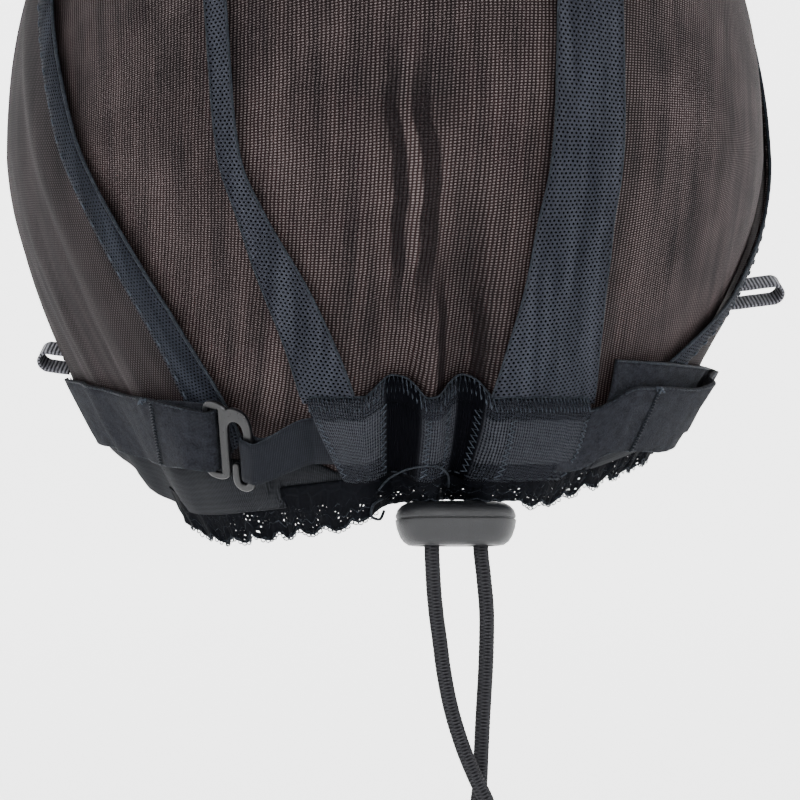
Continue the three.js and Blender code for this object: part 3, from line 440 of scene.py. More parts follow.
class Board:
    """A material's nodes."""

    def __init__(self, name: str) -> None:
        """Starts an empty material."""
        self.material = bpy.data.materials.new(name)
        self.material.use_nodes = True
        self.tree = self.material.node_tree
        self.tree.nodes.clear()

    def node(self, kind: str, settings: dict[str, object], inputs: dict[str | int, object]) -> bpy.types.Node:
        """Adds a node.

        Args:
            kind: the node's type.
            settings: properties set before the sockets.
            inputs: values or links by socket name or number.

        Returns:
            The node.
        """
        made = self.tree.nodes.new(kind)
        for name, value in settings.items():
            setattr(made, name, value)
        for name, value in inputs.items():
            socket = made.inputs[name]
            source = value.socket if isinstance(value, Value) else value
            if isinstance(source, bpy.types.NodeSocket):
                self.tree.links.new(source, socket)
            else:
                socket.default_value = source
        return made

    def weave(self) -> tuple[Value, Value]:
        """The piece's own cloth coordinates, in millimetres."""
        uv = self.node("ShaderNodeUVMap", {"uv_map": WEAVE}, {})
        parts = self.node("ShaderNodeSeparateXYZ", {}, {"Vector": uv.outputs["UV"]})
        return Value(self, parts.outputs["X"]), Value(self, parts.outputs["Y"])

    def place(self, scale: float = 1000.0) -> bpy.types.NodeSocket:
        """Object coordinates, scaled."""
        coordinates = self.node("ShaderNodeTexCoord", {}, {})
        mapped = self.node(
            "ShaderNodeMapping", {}, {"Vector": coordinates.outputs["Object"], "Scale": (scale,) * 3}
        )
        return mapped.outputs["Vector"]

    def vector(
        self, x: "Value | float", y: "Value | float", z: "Value | float" = 0.0
    ) -> bpy.types.NodeSocket:
        """A vector of three numbers."""
        return self.node("ShaderNodeCombineXYZ", {}, {"X": x, "Y": y, "Z": z}).outputs["Vector"]

    def noise(
        self, where: bpy.types.NodeSocket, scale: float, detail: float = 2.0, rough: float = 0.5
    ) -> Value:
        """Noise from 0 to 1."""
        made = self.node(
            "ShaderNodeTexNoise", {}, {"Vector": where, "Scale": scale, "Detail": detail, "Roughness": rough}
        )
        return Value(self, made.outputs["Fac"])

    def cells(self, where: bpy.types.NodeSocket, scale: float, feature: str, random: float = 1.0) -> Value:
        """Distance in a cell pattern."""
        made = self.node(
            "ShaderNodeTexVoronoi",
            {"feature": feature, "voronoi_dimensions": "2D"},
            {"Vector": where, "Scale": scale, "Randomness": random},
        )
        return Value(self, made.outputs["Distance"])

    def tint(self, share: "Value | float", low: Colour, high: Colour) -> bpy.types.NodeSocket:
        """A colour between two."""
        made = self.node(
            "ShaderNodeMix", {"data_type": "RGBA"}, {0: share, 6: (*low, 1.0), 7: (*high, 1.0)}
        )
        return made.outputs[2]

    def over(
        self, under: bpy.types.NodeSocket, share: "Value | float", colour: Colour
    ) -> bpy.types.NodeSocket:
        """A colour laid over another."""
        made = self.node("ShaderNodeMix", {"data_type": "RGBA"}, {0: share, 6: under, 7: (*colour, 1.0)})
        return made.outputs[2]

    def bump(self, height: Value, depth: float, strength: float = 1.0) -> bpy.types.NodeSocket:
        """A bumped normal.

        Args:
            height: height from 0 to 1.
            depth: depth of the relief in millimetres.
            strength: strength of the relief.

        Returns:
            The normal.
        """
        made = self.node(
            "ShaderNodeBump", {}, {"Height": height, "Distance": depth * MM, "Strength": strength}
        )
        return made.outputs["Normal"]

    def finish(
        self,
        inputs: dict[str | int, object],
        coverage: Value | None = None,
        passing: Colour = (1, 1, 1),
    ) -> bpy.types.Material:
        """Closes the material.

        Args:
            inputs: inputs of the main shader.
            coverage: where cloth covers, for open cloth.
            passing: tint of the light that passes through open cloth.

        Returns:
            The material.
        """
        shader = self.node("ShaderNodeBsdfPrincipled", {}, inputs).outputs["BSDF"]
        if coverage is not None:
            open_part = self.node("ShaderNodeBsdfTransparent", {}, {"Color": (*passing, 1.0)})
            mixed = self.node(
                "ShaderNodeMixShader", {}, {0: coverage, 1: open_part.outputs["BSDF"], 2: shader}
            )
            shader = mixed.outputs["Shader"]
        self.node("ShaderNodeOutputMaterial", {}, {"Surface": shader})
        return self.material


BAND_FADE = 8


@dataclass(frozen=True)
class FoldShading:
    """A strip of painted shade or painted light along a fold of the net, in cloth coordinates.

    It crosses v = 0 at middle, leans by slant, runs from low to high and is half wide to each side. Its
    gain is below 0 where it is painted shade and above 0 where it is painted light.
    """

    middle: float
    slant: float
    low: float
    high: float
    half: float
    gain: float


@dataclass(frozen=True)
class NetFinish:
    """Sheer stretch net: rows of knots with a painted glint over a darker, see-through ground with painted
    light patches and painted shade.
    """

    name: str
    periods: tuple[float, float] = (0.60, 0.60)
    angles: tuple[float, float] = (34, -40)
    ground: Colour = (0.0112, 0.0066, 0.0066)
    shade: Colour = (0.0030, 0.0024, 0.0028)
    # The knot colour is a painted glint on the raised threads.
    knot: Colour = (0.084, 0.070, 0.070)
    cover: float = 0.86
    passing: Colour = (0.16, 0.085, 0.08)
    fold_shading: tuple[FoldShading, ...] = ()

    def make(self) -> bpy.types.Material:
        """Builds the material."""
        board = Board(self.name)
        u, v = board.weave()
        where = board.vector(u, v)
        drift = board.noise(where, 0.05, 2.0) - 0.5
        waver = board.noise(where, 0.4, 2.0) - 0.5
        waves = []
        for angle, period in zip(self.angles, self.periods):
            a = math.radians(angle)
            turn = 2 * math.pi / period
            along = u * (math.cos(a) * turn) + v * (math.sin(a) * turn) + waver * 2.2 + drift * 9.0
            waves.append(along.sine() * 0.5 + 0.5)
        knots = waves[0] * waves[1]
        # Streaks and patches make lit, which paints light patches on the ground, and painted shade where it
        # is low.
        streaks = board.noise(board.vector(u * 0.30, v * 0.022), 1.0, 3.0, 0.6)
        patches = board.noise(where, 0.05, 3.0)
        raised = (knots + (patches - 0.5) * 0.3).step(0.12, 0.85)
        lit = (streaks * 0.7 + patches * 0.5).step(0.35, 0.85)
        fold_shading_factor: Value | float = 1.0
        # Each strip paints shade along a fold where its gain is below 0, and light where its gain is above 0.
        for band in self.fold_shading:
            line = u - v * band.slant - band.middle + (drift * 6.0)
            beside = 1 - abs(line).step(band.half * 0.55, band.half)
            below = 1 - v.step(band.high - BAND_FADE, band.high + BAND_FADE)
            within = v.step(band.low - BAND_FADE, band.low + BAND_FADE) * below
            fold_shading_factor = (beside * within * band.gain + 1) * fold_shading_factor
        # The knots' painted glint is weakened where lit is low and in the painted fold shade.
        strength = (raised * (lit * 0.65 + 0.35) * fold_shading_factor).smallest(1.0)
        ground = board.tint((lit * fold_shading_factor).smallest(1.0), self.shade, self.ground)
        made = board.over(ground, strength, self.knot)
        return board.finish(
            {
                "Base Color": made,
                "Roughness": 0.75,
                "Specular IOR Level": 0.04,
                "Normal": board.bump(knots, 0.12, 0.5),
            },
            coverage=raised * (1 - self.cover) + self.cover,
            passing=self.passing,
        )


@dataclass(frozen=True)
class RibFinish:
    """Coarser stretch mesh with small round holes in offset rows."""

    name: str = "rib_mesh"
    period: float = 0.86
    row: float = 0.74
    colour: Colour = (0.0092, 0.0101, 0.0138)
    light: Colour = (0.0205, 0.0222, 0.0285)
    hollow: Colour = (0.0012, 0.0012, 0.0016)

    def make(self) -> bpy.types.Material:
        """Builds the material."""
        board = Board(self.name)
        u, v = board.weave()
        where = board.vector(u, v)
        waver = (board.noise(where, 0.4, 2.0) - 0.5) * 0.5
        row = (v + waver) / self.row
        shift = (row.floor() * 0.5).fraction()
        x = ((u + waver * 0.6) / self.period + shift).fraction() - 0.5
        y = row.fraction() - 0.5
        distance = (x * x + y * y * 0.8) ** 0.5
        hole = 1 - distance.step(0.17, 0.33)
        streaks = board.noise(board.vector(u * 0.30, v * 0.03), 1.0, 3.0, 0.6)
        cloth = board.tint(streaks.step(0.3, 0.75), self.colour, self.light)
        made = board.over(cloth, hole, self.hollow)
        return board.finish(
            {
                "Base Color": made,
                "Roughness": 0.75,
                "Specular IOR Level": 0.04,
                "Normal": board.bump(1 - hole, 0.2, 0.7),
            },
            coverage=1 - hole * 0.5,
            passing=(0.3, 0.3, 0.3),
        )


@dataclass(frozen=True)
class CasingFinish:
    """Fine see-through mesh with close upright threads, dense where it is gathered into pleats, with painted
    shade in the pleats.
    """

    name: str = "casing_mesh"
    pitch: float = 0.46
    colour: Colour = (0.0030, 0.0034, 0.0050)
    light: Colour = (0.0270, 0.0285, 0.0335)
    # Colour of the painted shade in the pleats.
    folded: Colour = (0.0005, 0.0006, 0.0012)
    pleats: tuple[tuple[float, float], ...] = ((-5.8, 4.2), (7.1, 3.1))
    ribbon: tuple[float, float] = (3.4, 11.6)

    def make(self) -> bpy.types.Material:
        """Builds the material."""
        board = Board(self.name)
        u, v = board.weave()
        where = board.vector(u, v)
        waver = board.noise(where, 0.5, 2.0) - 0.5
        turn = 2 * math.pi / self.pitch
        upright = (u * turn + waver * 3.0).sine() * 0.5 + 0.5
        level = (v * (turn * 0.8) + u * 1.2 + waver * 2.0).sine() * 0.5 + 0.5
        # Mask of the pleats: it paints shade in them and also makes the cloth denser.
        gathered: Value | float = 0.0
        for middle, half in self.pleats:
            near = 1 - abs(u - middle).step(half * 0.7, half)
            gathered = near.largest(gathered)
        low, high = self.ribbon
        backed = v.step(low - 0.3, low + 0.3) * (1 - v.step(high - 0.3, high + 0.3))
        leftward = 1 - u.step(-9.0, -3.0)
        thread = (upright * 0.6 + level * 0.4 + 0.15).step(0.1, 1.1)
        mottled = board.noise(where, 0.8, 3.0)
        bright = thread * (mottled * 0.7 + 0.5) * (backed * 0.55 + leftward * 0.35 + 0.42)
        cloth = board.tint(bright.smallest(1.0), self.colour, self.light)
        # Paints shade in the pleats; the higher coverage there below is the denser gathered cloth.
        made = board.over(cloth, gathered, self.folded)
        return board.finish(
            {
                "Base Color": made,
                "Roughness": 0.75,
                "Specular IOR Level": 0.02,
                "Normal": board.bump(upright, 0.15, 0.7),
            },
            coverage=(thread * 0.5 + 0.45 + backed * 0.2 + gathered * 0.62).smallest(1.0),
            passing=(0.6, 0.66, 0.8),
        )


@dataclass(frozen=True)
class PlushFinish:
    """Brushed elastic with a short fuzzy pile."""

    name: str = "plush_elastic"
    colour: Colour = (0.0020, 0.0022, 0.0030)
    light: Colour = (0.0150, 0.0165, 0.0215)

    def make(self) -> bpy.types.Material:
        """Builds the material."""
        board = Board(self.name)
        u, v = board.weave()
        where = board.vector(u, v)
        grain = board.noise(where, 2.3, 4.0, 0.7)
        clumps = board.noise(where, 0.55, 3.0, 0.6)
        pile = (grain * 0.75 + clumps * 0.45).step(0.38, 0.9)
        return board.finish(
            {
                "Base Color": board.tint(pile, self.colour, self.light),
                "Roughness": 0.92,
                "Sheen Weight": 0.008,
                "Specular IOR Level": 0.04,
                "Sheen Roughness": 0.6,
                "Normal": board.bump(grain * 0.7 + clumps * 0.5, 0.6, 0.9),
            }
        )


@dataclass(frozen=True)
class TapeFinish:
    """Woven tape with fine cross ribs."""

    name: str
    pitch: float = 0.42
    relief: float = 0.1
    colour: Colour = (0.0010, 0.0012, 0.0019)
    light: Colour = (0.0088, 0.0100, 0.0134)
    roughness: float = 0.55

    def make(self) -> bpy.types.Material:
        """Builds the material."""
        board = Board(self.name)
        u, v = board.weave()
        where = board.vector(u, v)
        cross = (u * (2 * math.pi / self.pitch)).sine() * 0.5 + 0.5
        lengthwise = (v * (2 * math.pi / 0.5)).sine() * 0.5 + 0.5
        worn = board.noise(where, 0.9, 3.0)
        # The lighter cross-rib crests are the weave's pattern with a painted highlight on them.
        thread = cross * 0.65 + lengthwise * 0.2 + worn * 0.35
        return board.finish(
            {
                "Base Color": board.tint(thread.step(0.2, 1.05), self.colour, self.light),
                "Roughness": self.roughness,
                "Sheen Weight": 0.002,
                "Specular IOR Level": 0.04,
                "Normal": board.bump(cross * 0.8 + lengthwise * 0.2, self.relief, 0.9),
            }
        )


@dataclass(frozen=True)
class LaceFinish:
    """Lace: a fine open ground with denser sprigs."""

    name: str = "lace_threads"
    colour: Colour = (0.0006, 0.0007, 0.0011)
    light: Colour = (0.0034, 0.0039, 0.0054)

    def make(self) -> bpy.types.Material:
        """Builds the material."""
        board = Board(self.name)
        u, v = board.weave()
        where = board.vector(u, v)
        ground = board.cells(where, 1.15, "DISTANCE_TO_EDGE", 0.7)
        sprigs = board.cells(where, 0.30, "DISTANCE_TO_EDGE", 0.8)
        fill = board.noise(where, 0.42, 2.0)
        web = 1 - ground.step(0.26, 0.36)
        outline = (1 - sprigs.step(0.03, 0.10)) * 0.5
        petals = fill.step(0.44, 0.49)
        closed = (1 - u.step(-54, -50)).largest(v.step(3.6, 4.4))
        cover = web.largest(petals).largest(closed)
        mottled = board.noise(where, 2.0, 3.0)
        return board.finish(
            {
                "Base Color": board.tint(mottled * 0.6 + outline * 0.4, self.colour, self.light),
                "Roughness": 0.75,
                "Specular IOR Level": 0.02,
                "Normal": board.bump(cover * 0.5 + outline * 0.5, 0.3, 0.8),
            },
            coverage=cover,
        )


@dataclass(frozen=True)
class CordFinish:
    """Round elastic cord with a close braided cover."""

    name: str = "braided_cord"
    pitch: float = 0.62
    colour: Colour = (0.0025, 0.0025, 0.0030)
    light: Colour = (0.0220, 0.0220, 0.0245)

    def make(self) -> bpy.types.Material:
        """Builds the material."""
        board = Board(self.name)
        u, v = board.weave()
        where = board.vector(u, v)
        turn = 2 * math.pi / self.pitch
        one = (u * turn + v * 2.1).sine()
        other = (u * turn - v * 2.1 + 1.2).sine()
        braid = one.largest(other) * 0.5 + 0.5
        fuzz = board.noise(where, 3.0, 3.0, 0.7)
        return board.finish(
            {
                "Base Color": board.tint(
                    (braid * 0.7 + fuzz * 0.5).step(0.35, 1.15), self.colour, self.light
                ),
                "Roughness": 0.7,
                "Sheen Weight": 0.003,
                "Specular IOR Level": 0.04,
                "Normal": board.bump(braid * 0.8 + fuzz * 0.3, 0.25, 0.9),
            }
        )


@dataclass(frozen=True)
class CoatedMetal:
    """Black coated metal with a satin shine and a painted highlight along its rims."""

    name: str = "coated_hook"
    colour: Colour = (0.0022, 0.0023, 0.0028)
    # Colour of the painted highlight on the rims.
    light: Colour = (0.030, 0.031, 0.034)

    def make(self) -> bpy.types.Material:
        """Builds the material."""
        board = Board(self.name)
        where = board.place()
        fine = board.noise(where, 1.8, 4.0, 0.6)
        # Pointiness picks out the rims, which get a painted highlight.
        edge_pointiness = board.node("ShaderNodeNewGeometry", {}, {}).outputs["Pointiness"]
        rims = Value(board, edge_pointiness).step(0.55, 0.66)
        return board.finish(
            {
                "Base Color": board.tint(rims * 0.85 + fine * 0.12, self.colour, self.light),
                "Roughness": fine * 0.16 + 0.22,
                "Specular IOR Level": 0.30,
                "Normal": board.bump(fine, 0.03, 0.5),
            }
        )


@dataclass(frozen=True)
class MouldedPlastic:
    """Satin black plastic with a fine moulded texture."""

    name: str = "moulded_lock"
    colour: Colour = (0.0022, 0.0025, 0.0032)
    light: Colour = (0.0060, 0.0066, 0.0080)

    def make(self) -> bpy.types.Material:
        """Builds the material."""
        board = Board(self.name)
        where = board.place()
        texture = board.noise(where, 4.5, 2.0, 0.6)
        worn = board.noise(where, 0.35, 3.0)
        return board.finish(
            {
                "Base Color": board.tint(worn, self.colour, self.light),
                "Roughness": texture * 0.3 + 0.26,
                "Specular IOR Level": 0.30,
                "Normal": board.bump(texture, 0.1, 0.9),
            }
        )


@dataclass(frozen=True)
class ThreadFinish:
    """Sewing thread with a faint twist."""

    name: str
    colour: Colour = (0.0035, 0.0042, 0.0055)
    light: Colour = (0.0180, 0.0215, 0.0270)

    def make(self) -> bpy.types.Material:
        """Builds the material."""
        board = Board(self.name)
        where = board.place()
        fleck = board.noise(where, 2.6, 3.0, 0.7)
        return board.finish(
            {
                "Base Color": board.tint(fleck.step(0.3, 0.75), self.colour, self.light),
                "Roughness": 0.6,
                "Sheen Weight": 0.004,
                "Specular IOR Level": 0.04,
                "Normal": board.bump(fleck, 0.08, 0.6),
            }
        )


class Cloths:
    """Every finish of the cap, made once."""

    def __init__(self) -> None:
        """Builds the finishes."""
        self.back_net = NetFinish(
            "back_net",
            (0.70, 0.50),
            (3, 84),
            # Strips of painted fold shade across the back net, and one strip of painted light.
            fold_shading=(
                FoldShading(8.6, 0.035, -30, 10, 1.5, -0.85),
                FoldShading(6.3, 0.035, -30, 10, 1.4, 0.8),
                FoldShading(3.8, 0.04, -30, 10, 2.1, -0.85),
                FoldShading(1.6, 0.066, -54, -27, 1.2, -0.8),
                FoldShading(-5.4, 0.076, -54, -27, 1.6, -0.8),
            ),
        ).make()
        self.front_net = NetFinish(
            "front_net",
            ground=(0.0070, 0.0045, 0.0048),
            shade=(0.0024, 0.0020, 0.0024),
            knot=(0.046, 0.040, 0.041),
        ).make()
        self.rib = RibFinish().make()
        self.lap = RibFinish(
            "lap_mesh", 0.80, 0.72, (0.0044, 0.0052, 0.0078), (0.0140, 0.0160, 0.0215)
        ).make()
        self.casing = CasingFinish().make()
        self.plush = PlushFinish().make()
        self.tape = TapeFinish("nape_tape_weave", 0.36, 0.06).make()
        self.grosgrain = TapeFinish(
            "grosgrain", 0.77, 0.22, (0.016, 0.016, 0.019), (0.16, 0.16, 0.18), 0.42
        ).make()
        self.binding = TapeFinish(
            "binding_tape", 0.5, 0.1, (0.0035, 0.0038, 0.0045), (0.0140, 0.0150, 0.0175), 0.75
        ).make()
        self.lace = LaceFinish().make()
        self.cord = CordFinish().make()
        self.hook = CoatedMetal().make()
        self.lock = MouldedPlastic().make()
        self.thread = ThreadFinish("dark_thread").make()
        self.bright_thread = ThreadFinish(
            "bright_thread", (0.0100, 0.0125, 0.0170), (0.0400, 0.0480, 0.0600)
        ).make()


def new_object(
    name: str, mesh: bmesh.types.BMesh, material: bpy.types.Material, smooth_faces: bool = True
) -> bpy.types.Object:
    """Makes an object from a mesh in millimetres, and scales it to metres.

    Args:
        name: the piece's name.
        mesh: the mesh, which is freed.
        material: the piece's finish.
        smooth_faces: whether faces are shaded smooth.

    Returns:
        The object.
    """
    bmesh.ops.scale(mesh, vec=(MM, MM, MM), verts=mesh.verts)
    data = bpy.data.meshes.new(name)
    mesh.to_mesh(data)
    mesh.free()
    data.materials.append(material)
    if smooth_faces:
        data.shade_smooth()
    made = bpy.data.objects.new(name, data)
    bpy.context.scene.collection.objects.link(made)
    return made


def thicken(piece: bpy.types.Object, wall: float, offset: float = 0.0) -> None:
    """Gives a sheet its thickness in millimetres."""
    modifier = piece.modifiers.new("wall", "SOLIDIFY")
    modifier.thickness = wall * MM
    modifier.offset = offset
    modifier.use_rim = True


def grid(
    columns: Sequence[float],
    rows: Sequence[float],
    place: Callable[[float, float], Vector],
    weave: Callable[[float, float], tuple[float, float]] | None = None,
) -> bmesh.types.BMesh:
    """A sheet whose columns and rows are set out by a function.

    Args:
        columns: values of the first parameter.
        rows: values of the second parameter.
        place: a point in millimetres for a column and a row.
        weave: cloth coordinates in millimetres for a column and a row.

    Returns:
        The mesh.
    """
    mesh = bmesh.new()
    across, up = len(columns) - 1, len(rows) - 1
    bmesh.ops.create_grid(mesh, x_segments=across, y_segments=up, size=0.5)
    layer = mesh.loops.layers.uv.new(WEAVE)
    keys = {
        v: (columns[round((v.co.x + 0.5) * across)], rows[round((v.co.y + 0.5) * up)]) for v in mesh.verts
    }
    for face in mesh.faces:
        for loop in face.loops:
            loop[layer].uv = (weave or (lambda a, b: (a, b)))(*keys[loop.vert])
    for v, (a, b) in keys.items():
        v.co = place(a, b)
    return mesh


def map_weave(mesh: bmesh.types.BMesh, weave: Callable[[Vector], tuple[float, float]]) -> None:
    """Sets cloth coordinates from places."""
    layer = mesh.loops.layers.uv.verify()
    for face in mesh.faces:
        for loop in face.loops:
            loop[layer].uv = weave(loop.vert.co)


def trim(mesh: bmesh.types.BMesh, beyond: Callable[[Vector], float]) -> None:
    """Cuts a sheet along the line where a function is 0, and drops the part where it is above 0."""
    value = {v: beyond(v.co) for v in mesh.verts}
    fresh = []
    for edge in list(mesh.edges):
        a, b = edge.verts
        if value[a] * value[b] < 0:
            share = value[a] / (value[a] - value[b])
            _, made = bmesh.utils.edge_split(edge, a, share)
            value[made] = 0.0
            fresh.append(made)
    bmesh.ops.connect_verts(mesh, verts=fresh)
    lost = [f for f in mesh.faces if sum(value[v] for v in f.verts) > 0]
    bmesh.ops.delete(mesh, geom=lost, context="FACES")


def catmull(points: Sequence[Vector], per_span: int) -> list[Vector]:
    """A smooth line through points."""
    found = []
    last = len(points) - 1
    for i in range(last):
        p0, p1, p2, p3 = (points[int(clamp(k, 0, last))] for k in (i - 1, i, i + 1, i + 2))
        for step in range(per_span):
            t = step / per_span
            found.append(
                0.5
                * (
                    2 * p1
                    + (p2 - p0) * t
                    + (2 * p0 - 5 * p1 + 4 * p2 - p3) * t * t
                    + (3 * p1 - p0 - 3 * p2 + p3) * t * t * t
                )
            )
    found.append(points[last].copy())
    return found


def even(points: Sequence[Vector], spacing: float) -> list[Vector]:
    """Points the same distance apart along a line."""
    found = [points[0].copy()]
    carried = 0.0
    for a, b in zip(points, points[1:]):
        length = (b - a).length
        at = spacing - carried
        while at <= length:
            found.append(a.lerp(b, at / length))
            at += spacing
        carried = length - (at - spacing)
    if (found[-1] - points[-1]).length > spacing * 0.3:
        found.append(points[-1].copy())
    return found


def line_length(points: Sequence[Vector]) -> float:
    """Length of a line."""
    return sum((b - a).length for a, b in zip(points, points[1:]))


def tube(
    points: Sequence[Vector],
    radius: float | Callable[[float], float],
    sides: int = 10,
    rough: float = 0.0,
) -> bmesh.types.BMesh:
    """A round bar along points, closed at both ends.

    Args:
        points: the centreline in millimetres.
        radius: radius, or a function of the share of the way along.
        sides: sides of its section.
        rough: unevenness of the radius.

    Returns:
        The mesh, with the length and the way round as its cloth coordinates.
    """
    lengths = [0.0]
    for a, b in zip(points, points[1:]):
        lengths.append(lengths[-1] + (b - a).length)
    total = max(lengths[-1], 1e-6)
    side = (points[1] - points[0]).orthogonal().normalized()
    frames = []
    for i in range(len(points)):
        run = (points[min(i + 1, len(points) - 1)] - points[max(i - 1, 0)]).normalized()
        side = (side - run * side.dot(run)).normalized()
        frames.append((side.copy(), run.cross(side)))
    size = radius if callable(radius) else (lambda _share: radius)

    def place(turn: float, row: float) -> Vector:
        """A point of the bar's skin."""
        i = int(row)
        a, b = frames[i]
        angle = math.tau * turn
        reach = size(lengths[i] / total) * (1 + rough * hash_noise(turn * 3, lengths[i] * 0.7, total))
        return points[i] + (a * math.cos(angle) + b * math.sin(angle)) * reach

    turns = [i / sides for i in range(sides + 1)]
    widest = size(0.5)
    mesh = grid(turns, list(range(len(points))), place, lambda a, b: (lengths[int(b)], a * math.tau * widest))
    bmesh.ops.remove_doubles(mesh, verts=mesh.verts, dist=1e-5)
    edges = [e for e in mesh.edges if e.is_boundary]
    bmesh.ops.holes_fill(mesh, edges=edges, sides=sides + 1)
    bmesh.ops.recalc_face_normals(mesh, faces=mesh.faces)
    return mesh


def join(meshes: Sequence[bmesh.types.BMesh]) -> bmesh.types.BMesh:
    """Several meshes as one."""
    whole = meshes[0]
    for other in meshes[1:]:
        data = bpy.data.meshes.new("part")
        other.to_mesh(data)
        other.free()
        whole.from_mesh(data)
        bpy.data.meshes.remove(data)
    return whole


def stitches(
    points: Sequence[Vector], length: float, pause: float, radius: float, out: Callable[[Vector], Vector]
) -> bmesh.types.BMesh:
    """Running stitches along a line.

    Args:
        points: the line in millimetres.
        length: length of a stitch.
        pause: distance between stitches.
        radius: thickness of the thread.
        out: outward direction at a place.

    Returns:
        The mesh.
    """
    mesh = bmesh.new()
    stations = even(points, length + pause)
    for i, (a, b) in enumerate(zip(stations, stations[1:])):
        run = (b - a).normalized()
        up = out(a)
        side = run.cross(up).normalized()
        middle = a + run * (length / 2) + up * radius * 0.4 + side * 0.12 * hash_noise(i * 1.7)
        frame = Matrix((run * (length / 2), side * radius, up * radius)).transposed().to_4x4()
        frame.translation = middle
        bmesh.ops.create_uvsphere(mesh, u_segments=6, v_segments=6, radius=1.0, matrix=frame)
    return mesh


Edge = Callable[[float], Vector]


class Tape:
    """A flat tape along a path, each step of which gives its edges and its middle."""

    def __init__(self, path: Sequence[Edge], per_span: int = 5, across: int = 10) -> None:
        """Smooths the path.

        Args:
            path: steps that give a point for -1, 0 and 1 across.
            per_span: pieces between two steps.
            across: pieces across.
        """
        self.across = [blend(-1, 1, i / across) for i in range(across + 1)]
        self.low, self.middle, self.high = (catmull([step(s) for step in path], per_span) for s in (-1, 0, 1))
        self.lengths = [0.0]
        for a, b in zip(self.middle, self.middle[1:]):
            self.lengths.append(self.lengths[-1] + (b - a).length)

    def at(self, index: int, across: float) -> Vector:
        """A point of the tape."""
        low, middle, high = self.low[index], self.middle[index], self.high[index]
        bow = middle - (low + high) / 2
        return low.lerp(high, (across + 1) / 2) + bow * (1 - across * across)

    def out(self, index: int) -> Vector:
        """Outward direction at a step."""
        last = len(self.middle) - 1
        run = self.middle[min(index + 1, last)] - self.middle[max(index - 1, 0)]
        return run.cross(self.high[index] - self.low[index]).normalized()

    def mesh(self, ripple: float = 0.0) -> bmesh.types.BMesh:
        """The tape's sheet, gently uneven."""

        def place(row: float, across: float) -> Vector:
            """A point of the sheet."""
            i = int(row)
            uneven = ripple * hash_noise(self.lengths[i] * 0.35, across * 1.3)
            return self.at(i, across) + self.out(i) * uneven

        def weave(row: float, across: float) -> tuple[float, float]:
            """Cloth coordinates."""
            i = int(row)
            return self.lengths[i], across * (self.high[i] - self.low[i]).length / 2

        return grid(list(range(len(self.middle))), self.across, place, weave)

    def edge(self, across: float, lift: float = 0.0) -> list[Vector]:
        """A line along the tape."""
        return [self.at(i, across) + self.out(i) * lift for i in range(len(self.middle))]


def on_cap(azimuth: float, level: float, half: float, low: float, high: float | None = None) -> Edge:
    """A step of a tape lying on the cap.

    Args:
        azimuth: where along the cap.
        level: middle height.
        half: half width.
        low: lift of the lower edge.
        high: lift of the upper edge.

    Returns:
        The step.
    """
    top = low if high is None else high

    def edge(side: float) -> Vector:
        """A point across the tape."""
        z = level + side * half
        return HEAD.place(azimuth, z, clear(azimuth, z) + blend(low, top, (side + 1) / 2))

    return edge


def dress(piece: bpy.types.Object, slot: str, *nodes: str) -> bpy.types.Object:
    """Fixes a piece to the cap's body, hides the nodes it stands for and logs its faces and area."""
    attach(piece, BODY)
    if nodes:
        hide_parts(*nodes)
    area = sum(face.area for face in piece.data.polygons)
    LOG.info("%s: %d faces, %.5f m2", piece.name, len(piece.data.polygons), area)
    return piece


